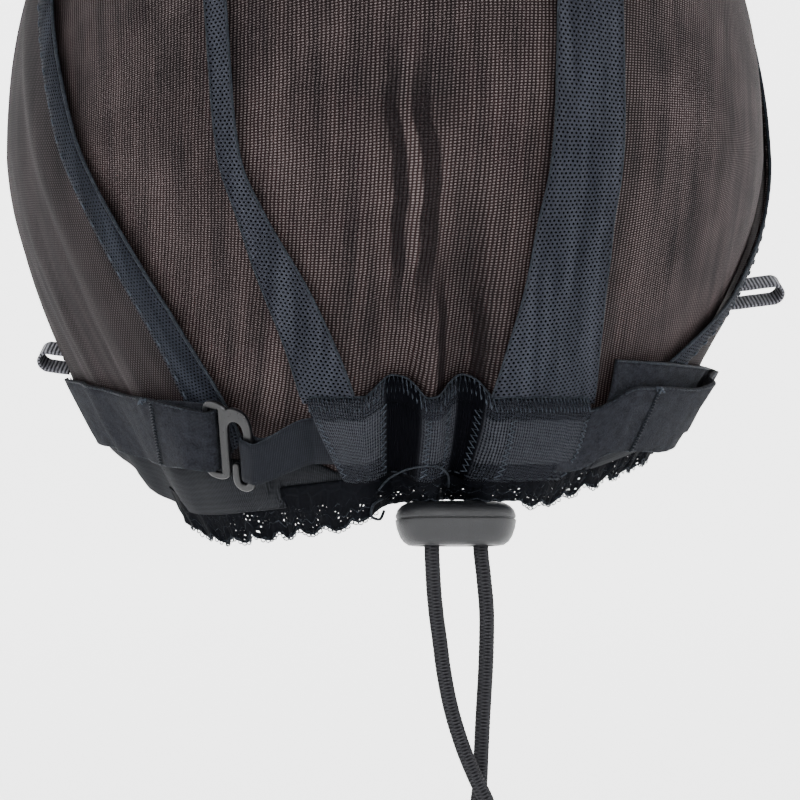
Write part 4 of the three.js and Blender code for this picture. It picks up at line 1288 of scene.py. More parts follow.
@dataclass
class Studio:
    """Camera, backdrop and lights."""

    azimuth: float = 172
    distance: float = 0.6
    level: float = -0.133
    aside: float = 0.00334
    lens: float = 133.4
    floor: float = -0.262
    reach: float = 2.6

    def aim(self) -> None:
        """Places the camera at the photograph's angle."""
        angle = math.radians(self.azimuth)
        back = Vector((math.sin(angle), -math.cos(angle), 0))
        right = Vector((math.cos(angle), math.sin(angle), 0))
        camera = bpy.data.objects.new("camera", bpy.data.cameras.new("camera"))
        camera.data.lens = self.lens
        camera.data.sensor_width = 36
        camera.rotation_mode = "QUATERNION"
        camera.location = back * self.distance + right * self.aside + Vector((0, 0, self.level))
        camera.rotation_quaternion = (-back).to_track_quat("-Z", "Y")
        bpy.context.scene.collection.objects.link(camera)
        bpy.context.scene.camera = camera

    def backdrop(self) -> None:
        """A pale floor that rises all round into a wall."""
        board = Board("pale_floor")
        where = board.place(1.0)
        soft = board.noise(where, 1.5, 2.0)
        material = board.finish(
            {
                "Base Color": board.tint(soft, (0.90, 0.90, 0.90), (0.93, 0.93, 0.93)),
                "Roughness": 0.9,
                "Emission Color": (1.0, 1.0, 1.0, 1.0),
                "Emission Strength": 1.62,
            }
        )
        mesh = bmesh.new()
        profile = [(0.0, 0.0), (self.reach * 0.6, 0.0)]
        profile += [
            (self.reach * (0.6 + 0.4 * math.sin(a)), self.reach * 0.4 * (1 - math.cos(a)))
            for a in (math.radians(d) for d in range(10, 91, 10))
        ]
        profile.append((self.reach, self.reach * 0.9))
        verts = [mesh.verts.new((x, 0, z)) for x, z in profile]
        edges = [mesh.edges.new(pair) for pair in zip(verts, verts[1:])]
        bmesh.ops.spin(
            mesh, geom=verts + edges, cent=(0, 0, 0), axis=(0, 0, 1), angle=math.tau, steps=64, use_merge=True
        )
        bmesh.ops.remove_doubles(mesh, verts=mesh.verts, dist=1e-5)
        bmesh.ops.recalc_face_normals(mesh, faces=mesh.faces)
        bmesh.ops.scale(mesh, vec=(1 / MM,) * 3, verts=mesh.verts)
        bmesh.ops.translate(mesh, vec=(0, 0, self.floor / MM), verts=mesh.verts)
        new_object("floor", mesh, material)

    def light(self) -> None:
        """Soft lights and a pale surround."""
        world = bpy.data.worlds.new("surround")
        bpy.context.scene.world = world
        world.use_nodes = True
        world.node_tree.nodes["Background"].inputs["Color"].default_value = (1, 1, 1, 1)
        world.node_tree.nodes["Background"].inputs["Strength"].default_value = 0.9
        for name, place, size, energy in (
            ("key", (-0.35, 1.1, 0.75), 0.9, 4.0),
            ("fill", (0.9, 0.8, 0.25), 0.8, 1.6),
            ("front", (0.2, -1.3, 0.7), 1.2, 2.5),
        ):
            data = bpy.data.lights.new(name, "AREA")
            data.size = size
            data.energy = energy
            lamp = bpy.data.objects.new(name, data)
            lamp.location = place
            aim = Vector((0, 0, -0.08)) - lamp.location
            lamp.rotation_euler = aim.to_track_quat("-Z", "Y").to_euler()
            bpy.context.scene.collection.objects.link(lamp)


@dataclass
class Drawcord:
    """Elastic drawcord in two strands, its lock and the knot that joins it."""

    cloths: Cloths
    diameter: float = 2.8
    spacing: float = 9.4
    lock_x: float = -6.1
    lock_top: float = -151.7
    lock_height: float = 8.2
    lock_tilt: float = 6
    lock_width: float = 22.8
    lock_depth: float = 12
    hem_depth: float = 4.5
    hem_thickness: float = 5.2
    knot_drop: float = 54.6
    knot_height: float = 7
    left_fall: tuple[tuple[float, float, float], ...] = (
        (10.7, -4.4, 1.2), (16, -4.0, 1.6), (21.8, -3.3, 2.1), (27.5, -2.6, 2.6), (33.9, -1.4, 3.3),
        (40.4, 0.5, 4.0), (45.7, 2.6, 4.3), (50.4, 4.9, 4.0), (54, 6.5, 2.4),
    )
    right_fall: tuple[tuple[float, float, float], ...] = (
        (10, 5.0, 1.2), (16, 5.5, 1.3), (21.8, 5.5, 1.2), (27.8, 5.3, 1.1), (35.3, 4.9, 0.9),
        (42.2, 4.6, 0.7), (49, 4.3, 0.5), (54, 3.5, 0.4),
    )

    def __post_init__(self) -> None:
        """Works out where the lock hangs."""
        half = self.spacing / 2
        self.hem_left = [self.in_hem(self.lock_x + half, up) for up in (self.hem_depth - 1.6, 0)]
        self.hem_right = [self.in_hem(self.lock_x - half, up) for up in (self.hem_depth - 1.6, 0)]
        left, right = self.hem_left[1], self.hem_right[1]
        back = (left.y + right.y) / 2 - 0.5
        self.middle = Vector((self.lock_x, back, self.lock_top - self.lock_height / 2))
        turned = Matrix.Rotation(math.atan2(left.y - right.y, self.spacing), 4, "Z")
        tilted = Matrix.Rotation(math.radians(self.lock_tilt), 4, "X")
        self.frame = Matrix.Translation(self.middle) @ tilted @ turned

    def in_hem(self, x: float, up: float) -> Vector:
        """A point inside the turned hem."""
        azimuth = math.degrees(math.asin(-x / 60))
        return HEAD.place(azimuth, HEAD.rim_z(azimuth) + up, NET_WALL - self.hem_thickness / 2)

    def strand(self, side: int) -> list[Vector]:
        """Centreline of a strand, from the hem through the lock to the knot."""
        into, fall = (self.hem_left, self.left_fall) if side < 0 else (self.hem_right, self.right_fall)
        inside = [
            self.frame @ Vector((-side * self.spacing / 2, 0, up))
            for up in (self.lock_height / 2 - 0.6, 0, -self.lock_height / 2 - 0.8)
        ]
        drops = [self.middle + Vector((-aside, out, -down)) for down, aside, out in fall]
        return catmull([*into, *inside, *drops], 8)

    def make_cords(self) -> None:
        """The two strands."""
        knot = self.make_knot()
        for name, side, node in (
            ("cord_strand_left", -1, "drawcord_left"),
            ("cord_strand_right", 1, "drawcord_right"),
        ):
            line = even(self.strand(side), 0.45)
            braid = self.diameter / 2

            def radius(share: float, length: float = line_length(line)) -> float:
                """Ribbed radius along the cord."""
                return braid * (1 + 0.022 * math.sin(share * length * math.tau / 0.93))

            cord = new_object(name, tube(line, radius, 20, 0.012), self.cloths.cord)
            dress(cord, "cord", node)
            tuple(line[0] * MM)
            line_length(line) * MM
            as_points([tuple(p * MM) for p in line[::4]] + [tuple(line[-1] * MM)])

    def make_knot(self) -> bpy.types.Object:
        """Overhand knot of both strands, with two short ends."""
        centre = self.middle + Vector((-5.1, 1.5, -self.knot_drop - self.knot_height / 2))
        radius = self.diameter / 2
        parts = []
        wrap = (
            (-1.4, 0.6, 3.9), (-1.2, 1.2, 1.8), (0.4, 2.9, 0.2), (2.9, 1.6, -0.9), (3.0, -1.4, -0.2),
            (0.4, -3.0, 1.1), (-2.6, -1.7, 1.4), (-2.7, 1.0, -0.6), (-1.6, 1.4, -2.6), (-1.9, 0.6, -5.2),
            (-2.5, 0.4, -9.0), (-2.8, 0.3, -12.6),
        )
        second = (
            (1.6, -0.4, 3.9), (1.6, 0.2, 2.0), (2.4, 1.9, 1.6), (0.4, 3.0, -1.6), (-2.2, 1.6, -2.2),
            (-2.6, -1.0, -1.2), (-0.6, -2.6, -1.3), (1.7, -1.2, -2.2), (1.8, -0.5, -4.6), (2.4, -0.3, -8.6),
            (2.8, -0.2, -12.2),
        )
        for route in (wrap, second):
            line = [centre + p for p in catmull([Vector(p) for p in route], 6)]

            def taper(share: float) -> float:
                """Radius that rounds off at the cut end."""
                return radius * (0.98 if share < 0.97 else 0.98 - (share - 0.97) * 12)

            parts.append(tube(line, taper, 14, 0.02))
        knot = new_object("cord_knot", join(parts), self.cloths.cord)
        return dress(knot, "cord", "drawcord_knot")

    def make_lock(self) -> None:
        """Oval lock with a parting edge and a mouth for each strand."""
        half_depth = self.lock_depth / 2
        straight = self.lock_width / 2 - half_depth
        mesh = bmesh.new()
        outline = [
            Vector((straight + half_depth * math.cos(a), half_depth * math.sin(a), 0))
            for a in (math.radians(d) for d in range(-90, 91, 10))
        ]
        outline += [
            Vector((-straight + half_depth * math.cos(a), half_depth * math.sin(a), 0))
            for a in (math.radians(d) for d in range(90, 271, 10))
        ]
        verts = [mesh.verts.new(p) for p in outline]
        ring = [mesh.edges.new((a, b)) for a, b in zip(verts, verts[1:] + verts[:1])]
        top, low = self.lock_height / 2, -self.lock_height / 2
        levels = [
            (low, 3.2), (low + 0.14, 2.3), (low + 0.75, 1.45), (low + 1.7, 0.8), (low + 3.2, 0.25),
            (0.55, 0.0), (0.72, 0.06), (0.80, 0.30), (0.95, 0.30), (1.03, 0.10), (1.5, 0.05),
            (2.5, 0.40), (3.3, 1.15), (top - 0.25, 2.2), (top, 3.6),
        ]

        def settle(loop: Sequence[bmesh.types.BMVert], z: float, inset: float) -> None:
            """Sets a ring at a height, drawn in from the outline."""
            for v, p in zip(loop, outline):
                inward = Vector((clamp(p.x, -straight, straight), 0, 0)) - Vector((p.x, p.y, 0))
                v.co = Vector((p.x, p.y, z)) + inward.normalized() * inset

        rings = [verts]
        settle(verts, *levels[0])
        for level in levels[1:]:
            made = bmesh.ops.extrude_edge_only(mesh, edges=ring)
            ring = [g for g in made["geom"] if isinstance(g, bmesh.types.BMEdge)]
            fresh = [g for g in made["geom"] if isinstance(g, bmesh.types.BMVert)]
            order = {}
            for edge in mesh.edges:
                a, b = edge.verts
                for one, two in ((a, b), (b, a)):
                    if one in rings[-1] and two in fresh:
                        order[one] = two
            following = [order[v] for v in rings[-1]]
            settle(following, *level)
            rings.append(following)
        bmesh.ops.holes_fill(mesh, edges=[e for e in mesh.edges if e.is_boundary], sides=0)
        bmesh.ops.recalc_face_normals(mesh, faces=mesh.faces)
        mesh.loops.layers.uv.new(WEAVE)
        body = new_object("lock_body", mesh, self.cloths.lock)
        cutters = []
        for side in (-1, 1):
            for end in (-1, 1):
                cutter = bmesh.new()
                mouth = Matrix.Translation((side * self.spacing / 2, 0, end * (self.lock_height / 2 - 0.6)))
                if end < 0:
                    mouth = mouth @ Matrix.Rotation(math.pi, 4, "X")
                bmesh.ops.create_cone(
                    cutter, cap_ends=True, segments=32, radius1=1.9, radius2=2.75, depth=1.5, matrix=mouth
                )
                cutters.append(cutter)
            bore = bmesh.new()
            bmesh.ops.create_cone(
                bore, cap_ends=True, segments=32, radius1=1.85, radius2=1.85, depth=self.lock_height * 2,
                matrix=Matrix.Translation((side * self.spacing / 2, 0, 0)),
            )
            cutters.append(bore)
        for i, cutter in enumerate(cutters):
            tool = new_object(f"cutter_{i}", cutter, self.cloths.lock)
            modifier = body.modifiers.new("cut", "BOOLEAN")
            modifier.object = tool
            modifier.operation = "DIFFERENCE"
            modifier.solver = "EXACT"
            bake(body)
            bpy.data.objects.remove(tool)
        modifier = body.modifiers.new("edge", "BEVEL")
        modifier.width = 0.12 * MM
        modifier.segments = 2
        modifier.limit_method = "ANGLE"
        modifier.angle_limit = math.radians(40)
        bake(body)
        metres = self.frame.copy()
        metres.translation = self.frame.translation * MM
        body.data.transform(metres)
        body.data.shade_smooth()
        dress(body, "lock", "cord_lock")


def bake(piece: bpy.types.Object) -> None:
    """Applies a piece's modifiers to its mesh."""
    graph = bpy.context.evaluated_depsgraph_get()
    graph.update()
    fresh = bpy.data.meshes.new_from_object(piece.evaluated_get(graph))
    old = piece.data
    piece.modifiers.clear()
    piece.data = fresh
    bpy.data.meshes.remove(old)
    fresh.name = piece.name


@dataclass
class NetPanels:
    """The back and front panels of sheer net, their lap and their hems."""

    cloths: Cloths
    columns: list[float] = field(
        default_factory=lambda: steps(-180, -100, 3.5)[:-1]
        + steps(-100, -45, 1.6)[:-1]
        + steps(-45, 45, 0.6)[:-1]
        + steps(45, 100, 1.6)[:-1]
        + steps(100, 180, 3.5)
    )
    rows: int = 96

    def height(self, azimuth: float, share: float) -> float:
        """Height of a row on one meridian."""
        rim = HEAD.rim_z(azimuth)
        if rim < HEAD.centre:
            start = (rim - HEAD.centre) / HEAD.nape_drop
        else:
            start = math.degrees(math.asin(min(1.0, rim / HEAD.crown_height + 1))) / 90
        t = blend(start, 1, share)
        if t < 0:
            return HEAD.centre + HEAD.nape_drop * t
        return HEAD.centre + HEAD.crown_height * math.sin(t * math.pi / 2)

    def dome(self, lift: Callable[[float, float], float], creased: float) -> bmesh.types.BMesh:
        """A whole dome of net.

        Args:
            lift: lift of the net at an azimuth and a height.
            creased: strength of the fine creases.

        Returns:
            The mesh.
        """

        def place(azimuth: float, share: float) -> Vector:
            """A point of the dome."""
            z = self.height(azimuth, share)
            crease = HEAD.fold_depth(azimuth, z, NET_CREASES) * creased
            low = smooth((share - 0.0) / 0.03)
            wander = 0.35 * hash_noise(azimuth * 0.12, z * 0.05) * (1 - smooth((z + 90) / 40))
            return HEAD.place(azimuth, z, lift(azimuth, z) - crease * (0.35 + 0.65 * low) - abs(wander))

        rows = [i / self.rows for i in range(self.rows + 1)]
        mesh = grid(self.columns, rows, place)
        bmesh.ops.remove_doubles(mesh, verts=mesh.verts, dist=1e-4)
        return mesh

    @staticmethod
    def back_weave(point: Vector) -> tuple[float, float]:
        """Cloth coordinates of the back panel."""
        p = point - Vector((0, 0, HEAD.centre))
        side = math.asin(clamp(p.x / p.length, -1, 1))
        return side * 80, math.atan2(p.z, p.y) * 80

    @staticmethod
    def front_weave(point: Vector) -> tuple[float, float]:
        """Cloth coordinates of the front panel, laid out from each ear."""
        p = point - Vector((0, 0, HEAD.centre))
        away = math.acos(clamp(abs(p.x) / p.length, -1, 1)) * 82
        angle = math.atan2(p.z, p.y)
        return away * math.cos(angle), away * math.sin(angle)

    def make_back(self) -> bpy.types.Object:
        """Back panel."""
        mesh = self.dome(lambda _a, _z: 0.5, 1.0)
        trim(mesh, lambda p: HEAD.seam_y(p.x, p.z) - p.y - LAP_WIDTH)
        map_weave(mesh, self.back_weave)
        piece = new_object("back_net_panel", mesh, self.cloths.back_net)
        thicken(piece, 0.3)
        dress(piece, "net", "back_panel")
        return piece

    def make_front(self) -> bpy.types.Object:
        """Front panel, lapped over the back panel."""
        mesh = self.dome(lambda a, z: lap_lift(a, z) + 0.5, 0.8)
        trim(mesh, lambda p: p.y - HEAD.seam_y(p.x, p.z))
        map_weave(mesh, self.front_weave)
        piece = new_object("front_net_panel", mesh, self.cloths.front_net)
        thicken(piece, 0.3)
        dress(piece, "net", "front_panel")
        return piece

    def seam_line(self, ahead: float, lift: float, step: float = 2.0) -> list[Vector]:
        """A line that runs beside the ear-to-ear seam, from the left hem over the crown to the right hem.

        Args:
            ahead: distance in front of the seam.
            lift: lift above the front panel.
            step: spacing of its points in degrees about the widest level.

        Returns:
            The line.
        """
        line = []
        for turn in steps(-150, 150, step):
            a = math.radians(turn)
            ray = Vector((-math.sin(a), 0, math.cos(a)))
            far = self.meet(ray, ahead)
            if far is not None:
                azimuth = azimuth_of(far)
                if far.z > HEAD.rim_z(azimuth) + 1.0:
                    line.append(HEAD.lifted(far, lap_lift(azimuth, far.z) + lift))
        return line

    @staticmethod
    def meet(ray: Vector, ahead: float) -> Vector | None:
        """Where the seam's line crosses the fan plane that holds a ray, at a distance in front of it."""
        low, high = -1.2, 1.2
        found = None
        for _ in range(40):
            lean = (low + high) / 2
            direction = Vector((ray.x, lean, ray.z)).normalized()
            found = HEAD.meet(direction)
            if found.y > HEAD.seam_y(found.x, found.z) - ahead:
                high = lean
            else:
                low = lean
        return found

    def make_seam(self) -> None:
        """Doubled cloth, an edge thread and running stitches along the lap."""
        front, back = self.seam_line(5.8, 0.95), self.seam_line(0.15, 0.95)
        count = min(len(front), len(back))

        def place(row: float, across: float) -> Vector:
            """A point of the doubled cloth."""
            i = int(row)
            out = HEAD.outward(back[i])
            return back[i].lerp(front[i], across) + out * 0.35 * math.sin(across * math.pi)

        mesh = grid(list(range(count)), [i / 6 for i in range(7)], place)
        map_weave(mesh, self.front_weave)
        piece = new_object("seam_facing", mesh, self.cloths.lap)
        thicken(piece, 0.3)
        dress(piece, "net")
        edge = new_object("seam_edge", tube(even(back, 1.2), 0.33, 8, 0.2), self.cloths.thread)
        dress(edge, "net")
        line = self.seam_line(4.9, 1.4)
        sewn = stitches(line, 1.9, 1.7, 0.17, HEAD.outward)
        dress(new_object("seam_stitches", sewn, self.cloths.bright_thread), "net")

    def make_hems(self) -> None:
        """A narrow bound hem round the lower edge and the face."""
        columns = steps(-180, 180, 1.0)
        section = [(0.0, -0.3), (0.9, -0.2), (1.15, 0.8), (1.1, 2.6), (0.9, 4.4), (0.45, 4.6), (0.2, 4.2)]

        def place(azimuth: float, corner: float) -> Vector:
            """A point of the hem's skin."""
            lift, up = section[int(corner)]
            gathered = smooth((azimuth + 96) / 12) * (1 - smooth((azimuth + 24) / 10))
            up *= 1 + (1.0 + 0.25 * hash_noise(azimuth * 0.2, 9)) * gathered * (up > 0)
            z = HEAD.rim_z(azimuth) + up
            wave = 0.25 * hash_noise(azimuth * 0.35, up)
            ruffle = HEAD.fold_depth(azimuth, z, NET_CREASES) * 0.5
            base = lap_lift(azimuth, z) if HEAD.ahead(azimuth, z) > 0 else 0.0
            return HEAD.place(azimuth, z, base + lift - ruffle * 0.5 + wave * 0.4)

        def weave(azimuth: float, corner: float) -> tuple[float, float]:
            """Cloth coordinates of the hem."""
            return azimuth * 1.3, section[int(corner)][1]

        mesh = grid(columns, list(range(len(section))), place, weave)
        bmesh.ops.remove_doubles(mesh, verts=mesh.verts, dist=1e-4)
        piece = new_object("bound_hem", mesh, self.cloths.binding)
        thicken(piece, 0.35)
        dress(piece, "net")
        line = []
        for azimuth in steps(100, 260, 1):
            z = HEAD.rim_z(azimuth) + 3.6
            line.append(HEAD.place(azimuth, z, lap_lift(azimuth, z) + 1.35))
        sewn = new_object("face_stitches", stitches(line, 1.6, 0.9, 0.18, HEAD.outward), self.cloths.thread)
        dress(sewn, "net")


@dataclass
class Ribs:
    """Two strips of coarse mesh over the net."""

    cloths: Cloths
    rises: tuple[float, ...] = (-50, -39, -30, -21, -12, -4, 14, 40, 66, 92)
    left: tuple[tuple[float, float], ...] = (
        (11.5, 3.7), (15.3, 8.3), (18.6, 11.9), (22.4, 16.3), (25.4, 21.6),
        (27.7, 24.8), (28.8, 26), (28.6, 25.8), (27.6, 24.8), (26.6, 23.8),
    )
    right: tuple[tuple[float, float], ...] = (
        (-4.8, -20.8), (-6.3, -21), (-7.9, -21), (-9.8, -21.2), (-11, -21.5),
        (-12.3, -22.1), (-13, -22), (-14, -21.5), (-15, -21), (-16, -21),
    )

    def make(self) -> None:
        """Both strips, with their folded edges."""
        for name, table, node in (
            ("rib_mesh_left", self.left, "rib_left"),
            ("rib_mesh_right", self.right, "rib_right"),
        ):
            first = Profile([(r, t[0]) for r, t in zip(self.rises, table)])
            second = Profile([(r, t[1]) for r, t in zip(self.rises, table)])
            top = 84 if node == "rib_left" else 92

            def place(rise: float, across: float, a: Profile = first, b: Profile = second) -> Vector:
                """A point of the strip."""
                side = blend(a.at(rise), b.at(rise), across)
                edge = abs(across - 0.5) * 2
                wave = 0.12 * hash_noise(rise * 0.2, across * 3)
                return HEAD.over_crown(side, rise, ON_NET + 0.5 + 0.25 * edge**6 + wave)

            def weave(
                rise: float, across: float, a: Profile = first, b: Profile = second
            ) -> tuple[float, float]:
                """Cloth coordinates of the strip."""
                side = blend(a.at(rise), b.at(rise), across)
                return math.radians(side) * 85, math.radians(rise) * 85

            mesh = grid(steps(-46, top, 0.9), [i / 14 for i in range(15)], place, weave)
            trim(mesh, lambda p: HEAD.seam_y(p.x, p.z) - p.y + 0.8)
            trim(mesh, lambda p: casing_top(azimuth_of(p)) - 0.6 - p.z)
            piece = new_object(name, mesh, self.cloths.rib)
            thicken(piece, 0.3)
            dress(piece, "rib_net", node)
            edges = []
            for across in (0.0, 1.0):
                line = [place(rise, across) for rise in steps(-46, top, 1.5)]
                line = [
                    p for p in line if p.y > HEAD.seam_y(p.x, p.z) + 0.5 and p.z > casing_top(azimuth_of(p))
                ]
                edges.append(tube(line, 0.24, 6, 0.2))
            dress(new_object(f"{name}_edges", join(edges), self.cloths.thread), "rib_net")


CASING_TOP = -133.0
CASING_HEIGHT = 15.0


def pleat(azimuth: float) -> float:
    """How deep in a pleat of the casing an azimuth lies, from 0 to 1."""
    return clamp(HEAD.fold_depth(azimuth, CASING_TOP) / 4.6)


def casing_top(azimuth: float) -> float:
    """Height of the casing's upper edge."""
    return CASING_TOP + 4.5 * pleat(azimuth) + 0.35 * hash_noise(azimuth * 0.5)


def casing_low(azimuth: float) -> float:
    """Height of the casing's lower edge."""
    return CASING_TOP - CASING_HEIGHT + 1.5 * pleat(azimuth) + 0.3 * hash_noise(azimuth * 0.6, 4)


@dataclass
class NapeCasing:
    """See-through casing with its overlocked edge and tacks."""

    cloths: Cloths
    start: float = -18.7
    start_slant: float = 4.8
    end: float = 24.6

    def place(self, azimuth: float, share: float, lift: float = 0.0) -> Vector:
        """A point of the casing's skin."""
        azimuth += self.start_slant * (1 - smooth((azimuth - self.start) / 10)) * clamp(1 - share)
        z = blend(casing_low(azimuth), casing_top(azimuth), share)
        belly = 2.7 * math.sin(math.pi * clamp(share, 0.0, 1.0)) ** 0.45
        wave = 0.18 * hash_noise(azimuth * 0.9, share * 4)
        return HEAD.place(azimuth, z, ON_NET + 0.1 + belly + wave + lift)

    def make(self) -> None:
        """The casing, its turned upper edge, threads and tacks."""
        columns = steps(self.start, self.end, 0.3)
        rows = [i / 26 for i in range(27)]
        mesh = grid(columns, rows, self.place, lambda a, s: (a * 1.25, s * CASING_HEIGHT))
        piece = new_object("casing_skin", mesh, self.cloths.casing)
        thicken(piece, 0.25)
        dress(piece, "casing_net", "nape_casing")
        turned = grid(
            columns,
            [0.76 + 0.26 * i / 8 for i in range(9)],
            lambda a, s: self.place(a, s, 0.35 + 0.2 * math.sin(s * 9)),
            lambda a, s: (a * 1.25 + 0.2, s * CASING_HEIGHT + 0.3),
        )
        fold = new_object("casing_turned_edge", turned, self.cloths.casing)
        thicken(fold, 0.25)
        dress(fold, "casing_net")
        zigzag = []
        for i, azimuth in enumerate(steps(self.start, self.end, 0.32)):
            share = 1.03 if i % 2 else 0.86 + 0.02 * hash_noise(azimuth * 3)
            zigzag.append(self.place(azimuth, share, 0.75))
        dress(new_object("casing_overlock", tube(zigzag, 0.17, 5), self.cloths.bright_thread), "casing_net")
        edge = [self.place(a, 1.03, 0.6) for a in steps(self.start, self.end, 0.5)]
        dress(new_object("casing_edge_thread", tube(edge, 0.2, 6, 0.4), self.cloths.thread), "casing_net")
        tacks = []
        for azimuth in (-18.0, -7.6, -1.0, 2.2, 6.9, 11.2, 23.9):
            ladder = [
                self.place(azimuth + (0.42 if i % 2 else -0.42) + 0.2 * hash_noise(s * 4, azimuth), s, 0.35)
                for i, s in enumerate(steps(0.06, 0.88, 0.033))
            ]
            tacks.append(tube(ladder, 0.12, 5, 0.2))
        dress(new_object("casing_tacks", join(tacks), self.cloths.bright_thread), "casing_net")
        line = [self.place(a, 0.04, 0.3) for a in steps(self.start, self.end, 0.8)]
        low = stitches(line, 1.4, 0.8, 0.17, HEAD.outward)
        dress(new_object("casing_low_stitches", low, self.cloths.thread), "casing_net")


@dataclass
class StrapHook:
    """Flat black hook with a closed slot and an open leg, and the tapes that meet on it."""

    cloths: Cloths
    thickness: float = 1.2
    bar: float = 1.3
    leg: float = 1.8
    height: float = 17.2
    slot_width: float = 2.0
    slot_height: float = 12.8
    gap: float = 3.3
    tip_rise: float = 5.6
    jaw_radius: float = 2.3
    azimuth: float = -32.3
    level: float = -141.4
    lean: float = 9
    roll: float = 10
    strap_wall: float = 0.8
    tape_wall: float = 0.6

    def __post_init__(self) -> None:
        """Works out the hook's lines and its place."""
        self.slot_left = -(self.slot_width + 2 * self.leg + self.gap - self.bar) / 2
        self.frame_left = self.slot_left - self.bar
        self.middle_left = self.slot_left + self.slot_width
        self.middle_right = self.middle_left + self.leg
        self.leg_inner = self.middle_right + self.gap
        self.leg_outer = self.leg_inner + self.leg
        self.top = self.height / 2
        self.slot_high = self.top - self.bar - 0.2
        self.slot_low = self.slot_high - self.slot_height
        self.strap_turn = self.thickness / 2 + GAP + self.strap_wall / 2
        self.tape_turn = self.thickness / 2 + GAP + self.tape_wall / 2
        lift = self.strap_wall / 2 + self.strap_turn + 1.2
        out = HEAD.outward(HEAD.plain(self.azimuth, self.level))
        side = Vector((0, 0, 1)).cross(out).normalized()
        out.rotate(Matrix.Rotation(math.radians(-self.lean), 3, side))
        side.rotate(Matrix.Rotation(math.radians(-self.roll), 3, out))
        up = out.cross(side).normalized()
        self.frame = Matrix((side, up, out)).transposed().to_4x4()
        self.frame.translation = HEAD.place(self.azimuth, self.level, clear(self.azimuth, self.level) + lift)

    def outline(self) -> list[tuple[float, float]]:
        """The hook's outer line."""
        points: list[tuple[float, float]] = []

        def curve(control: tuple[float, float], end: tuple[float, float]) -> None:
            """A quadratic curve from the last point."""
            start = points[-1]
            for i in range(1, 11):
                t = i / 10
                near, middle, far = (1 - t) ** 2, 2 * t * (1 - t), t * t
                points.append(tuple(near * start[k] + middle * control[k] + far * end[k] for k in (0, 1)))

        def arc(x: float, y: float, radius: float, start: float, end: float) -> None:
            """A round arc."""
            for i in range(13):
                a = math.radians(blend(start, end, i / 12))
                points.append((x + radius * math.cos(a), y + radius * math.sin(a)))

        top, low = self.top, self.slot_low
        jaw_x, jaw_y = self.leg_outer - self.jaw_radius, -top + self.jaw_radius
        inner = self.jaw_radius - self.leg + 0.35
        tip_x, tip_y = jaw_x - self.jaw_radius, -top + self.tip_rise - self.leg / 2
        nib = self.leg / 2 - 0.17
        points.append((self.frame_left, low + 0.5))
        points.append((self.frame_left, self.slot_high - 0.6))
        curve((self.frame_left + 0.1, top - 0.1), ((self.frame_left + self.middle_left) / 2 + 0.4, top))
        curve((self.middle_left + 0.6, top), (self.middle_right, top - 1.2))
        curve((self.middle_right + 1.3, top - 0.3), (self.leg_inner - 0.2, top - 1.2))
        curve((self.leg_outer - 0.1, top - 2.3), (self.leg_outer, top - 6))
        arc(jaw_x, jaw_y, self.jaw_radius, 0, -180)
        arc(tip_x + nib, tip_y, nib, 180, 0)
        arc(jaw_x, jaw_y, inner, 180, 360)
        points.append((self.leg_inner, top - 6))
        curve((self.leg_inner, top - 3.4), ((self.leg_inner + self.middle_right) / 2, top - 3.4))
        curve((self.middle_right, top - 3.4), (self.middle_right, top - 6))
        points.append((self.middle_right, low + 0.6))
        curve((self.middle_right - 0.3, low - self.bar), (self.middle_left - 0.6, low - self.bar))
        curve((self.frame_left, low - self.bar), (self.frame_left, low + 0.5))
        return points[:-1]

    def make_hook(self) -> None:
        """The hook, rounded along all its rims."""
        curve = bpy.data.curves.new("hook_line", "CURVE")
        curve.dimensions = "2D"
        curve.fill_mode = "BOTH"
        round_edge = 0.42
        curve.extrude = (self.thickness / 2 - round_edge) * MM
        curve.bevel_depth = round_edge * MM
        curve.bevel_resolution = 4
        curve.offset = -round_edge * MM
        slot = [
            (self.slot_left, self.slot_low), (self.middle_left, self.slot_low),
            (self.middle_left, self.slot_high), (self.slot_left, self.slot_high),
        ]
        for line in (self.outline(), slot):
            spline = curve.splines.new("POLY")
            spline.points.add(len(line) - 1)
            for point, (x, y) in zip(spline.points, line):
                point.co = (x * MM, y * MM, 0, 1)
            spline.use_cyclic_u = True
        shape = bpy.data.objects.new("hook_line", curve)
        bpy.context.scene.collection.objects.link(shape)
        graph = bpy.context.evaluated_depsgraph_get()
        graph.update()
        data = bpy.data.meshes.new_from_object(shape.evaluated_get(graph))
        bpy.data.objects.remove(shape)
        mesh = bmesh.new()
        mesh.from_mesh(data)
        bpy.data.meshes.remove(data)
        bmesh.ops.remove_doubles(mesh, verts=mesh.verts, dist=2e-6)
        bmesh.ops.recalc_face_normals(mesh, faces=mesh.faces)
        bmesh.ops.scale(mesh, vec=(1 / MM,) * 3, verts=mesh.verts)
        bmesh.ops.transform(mesh, matrix=self.frame, verts=mesh.verts)
        hook = new_object("hook_body", mesh, self.cloths.hook)
        dress(hook, "hook", "strap_hook")

    def at_hook(self, x: float, y: float, half: float, lift: float) -> Edge:
        """A step of a tape in the hook's own frame."""
        return lambda side: self.frame @ Vector((x, y + side * half, lift))

    def turn(self, x: float, y: float, half: float, reach: float, lift: float, side: int) -> list[Edge]:
        """A half turn of a tape round a bar."""
        return [
            self.at_hook(x + side * reach * math.sin(a), y, half, lift * math.cos(a))
            for a in (math.radians(d) for d in range(0, 181, 30))
        ]

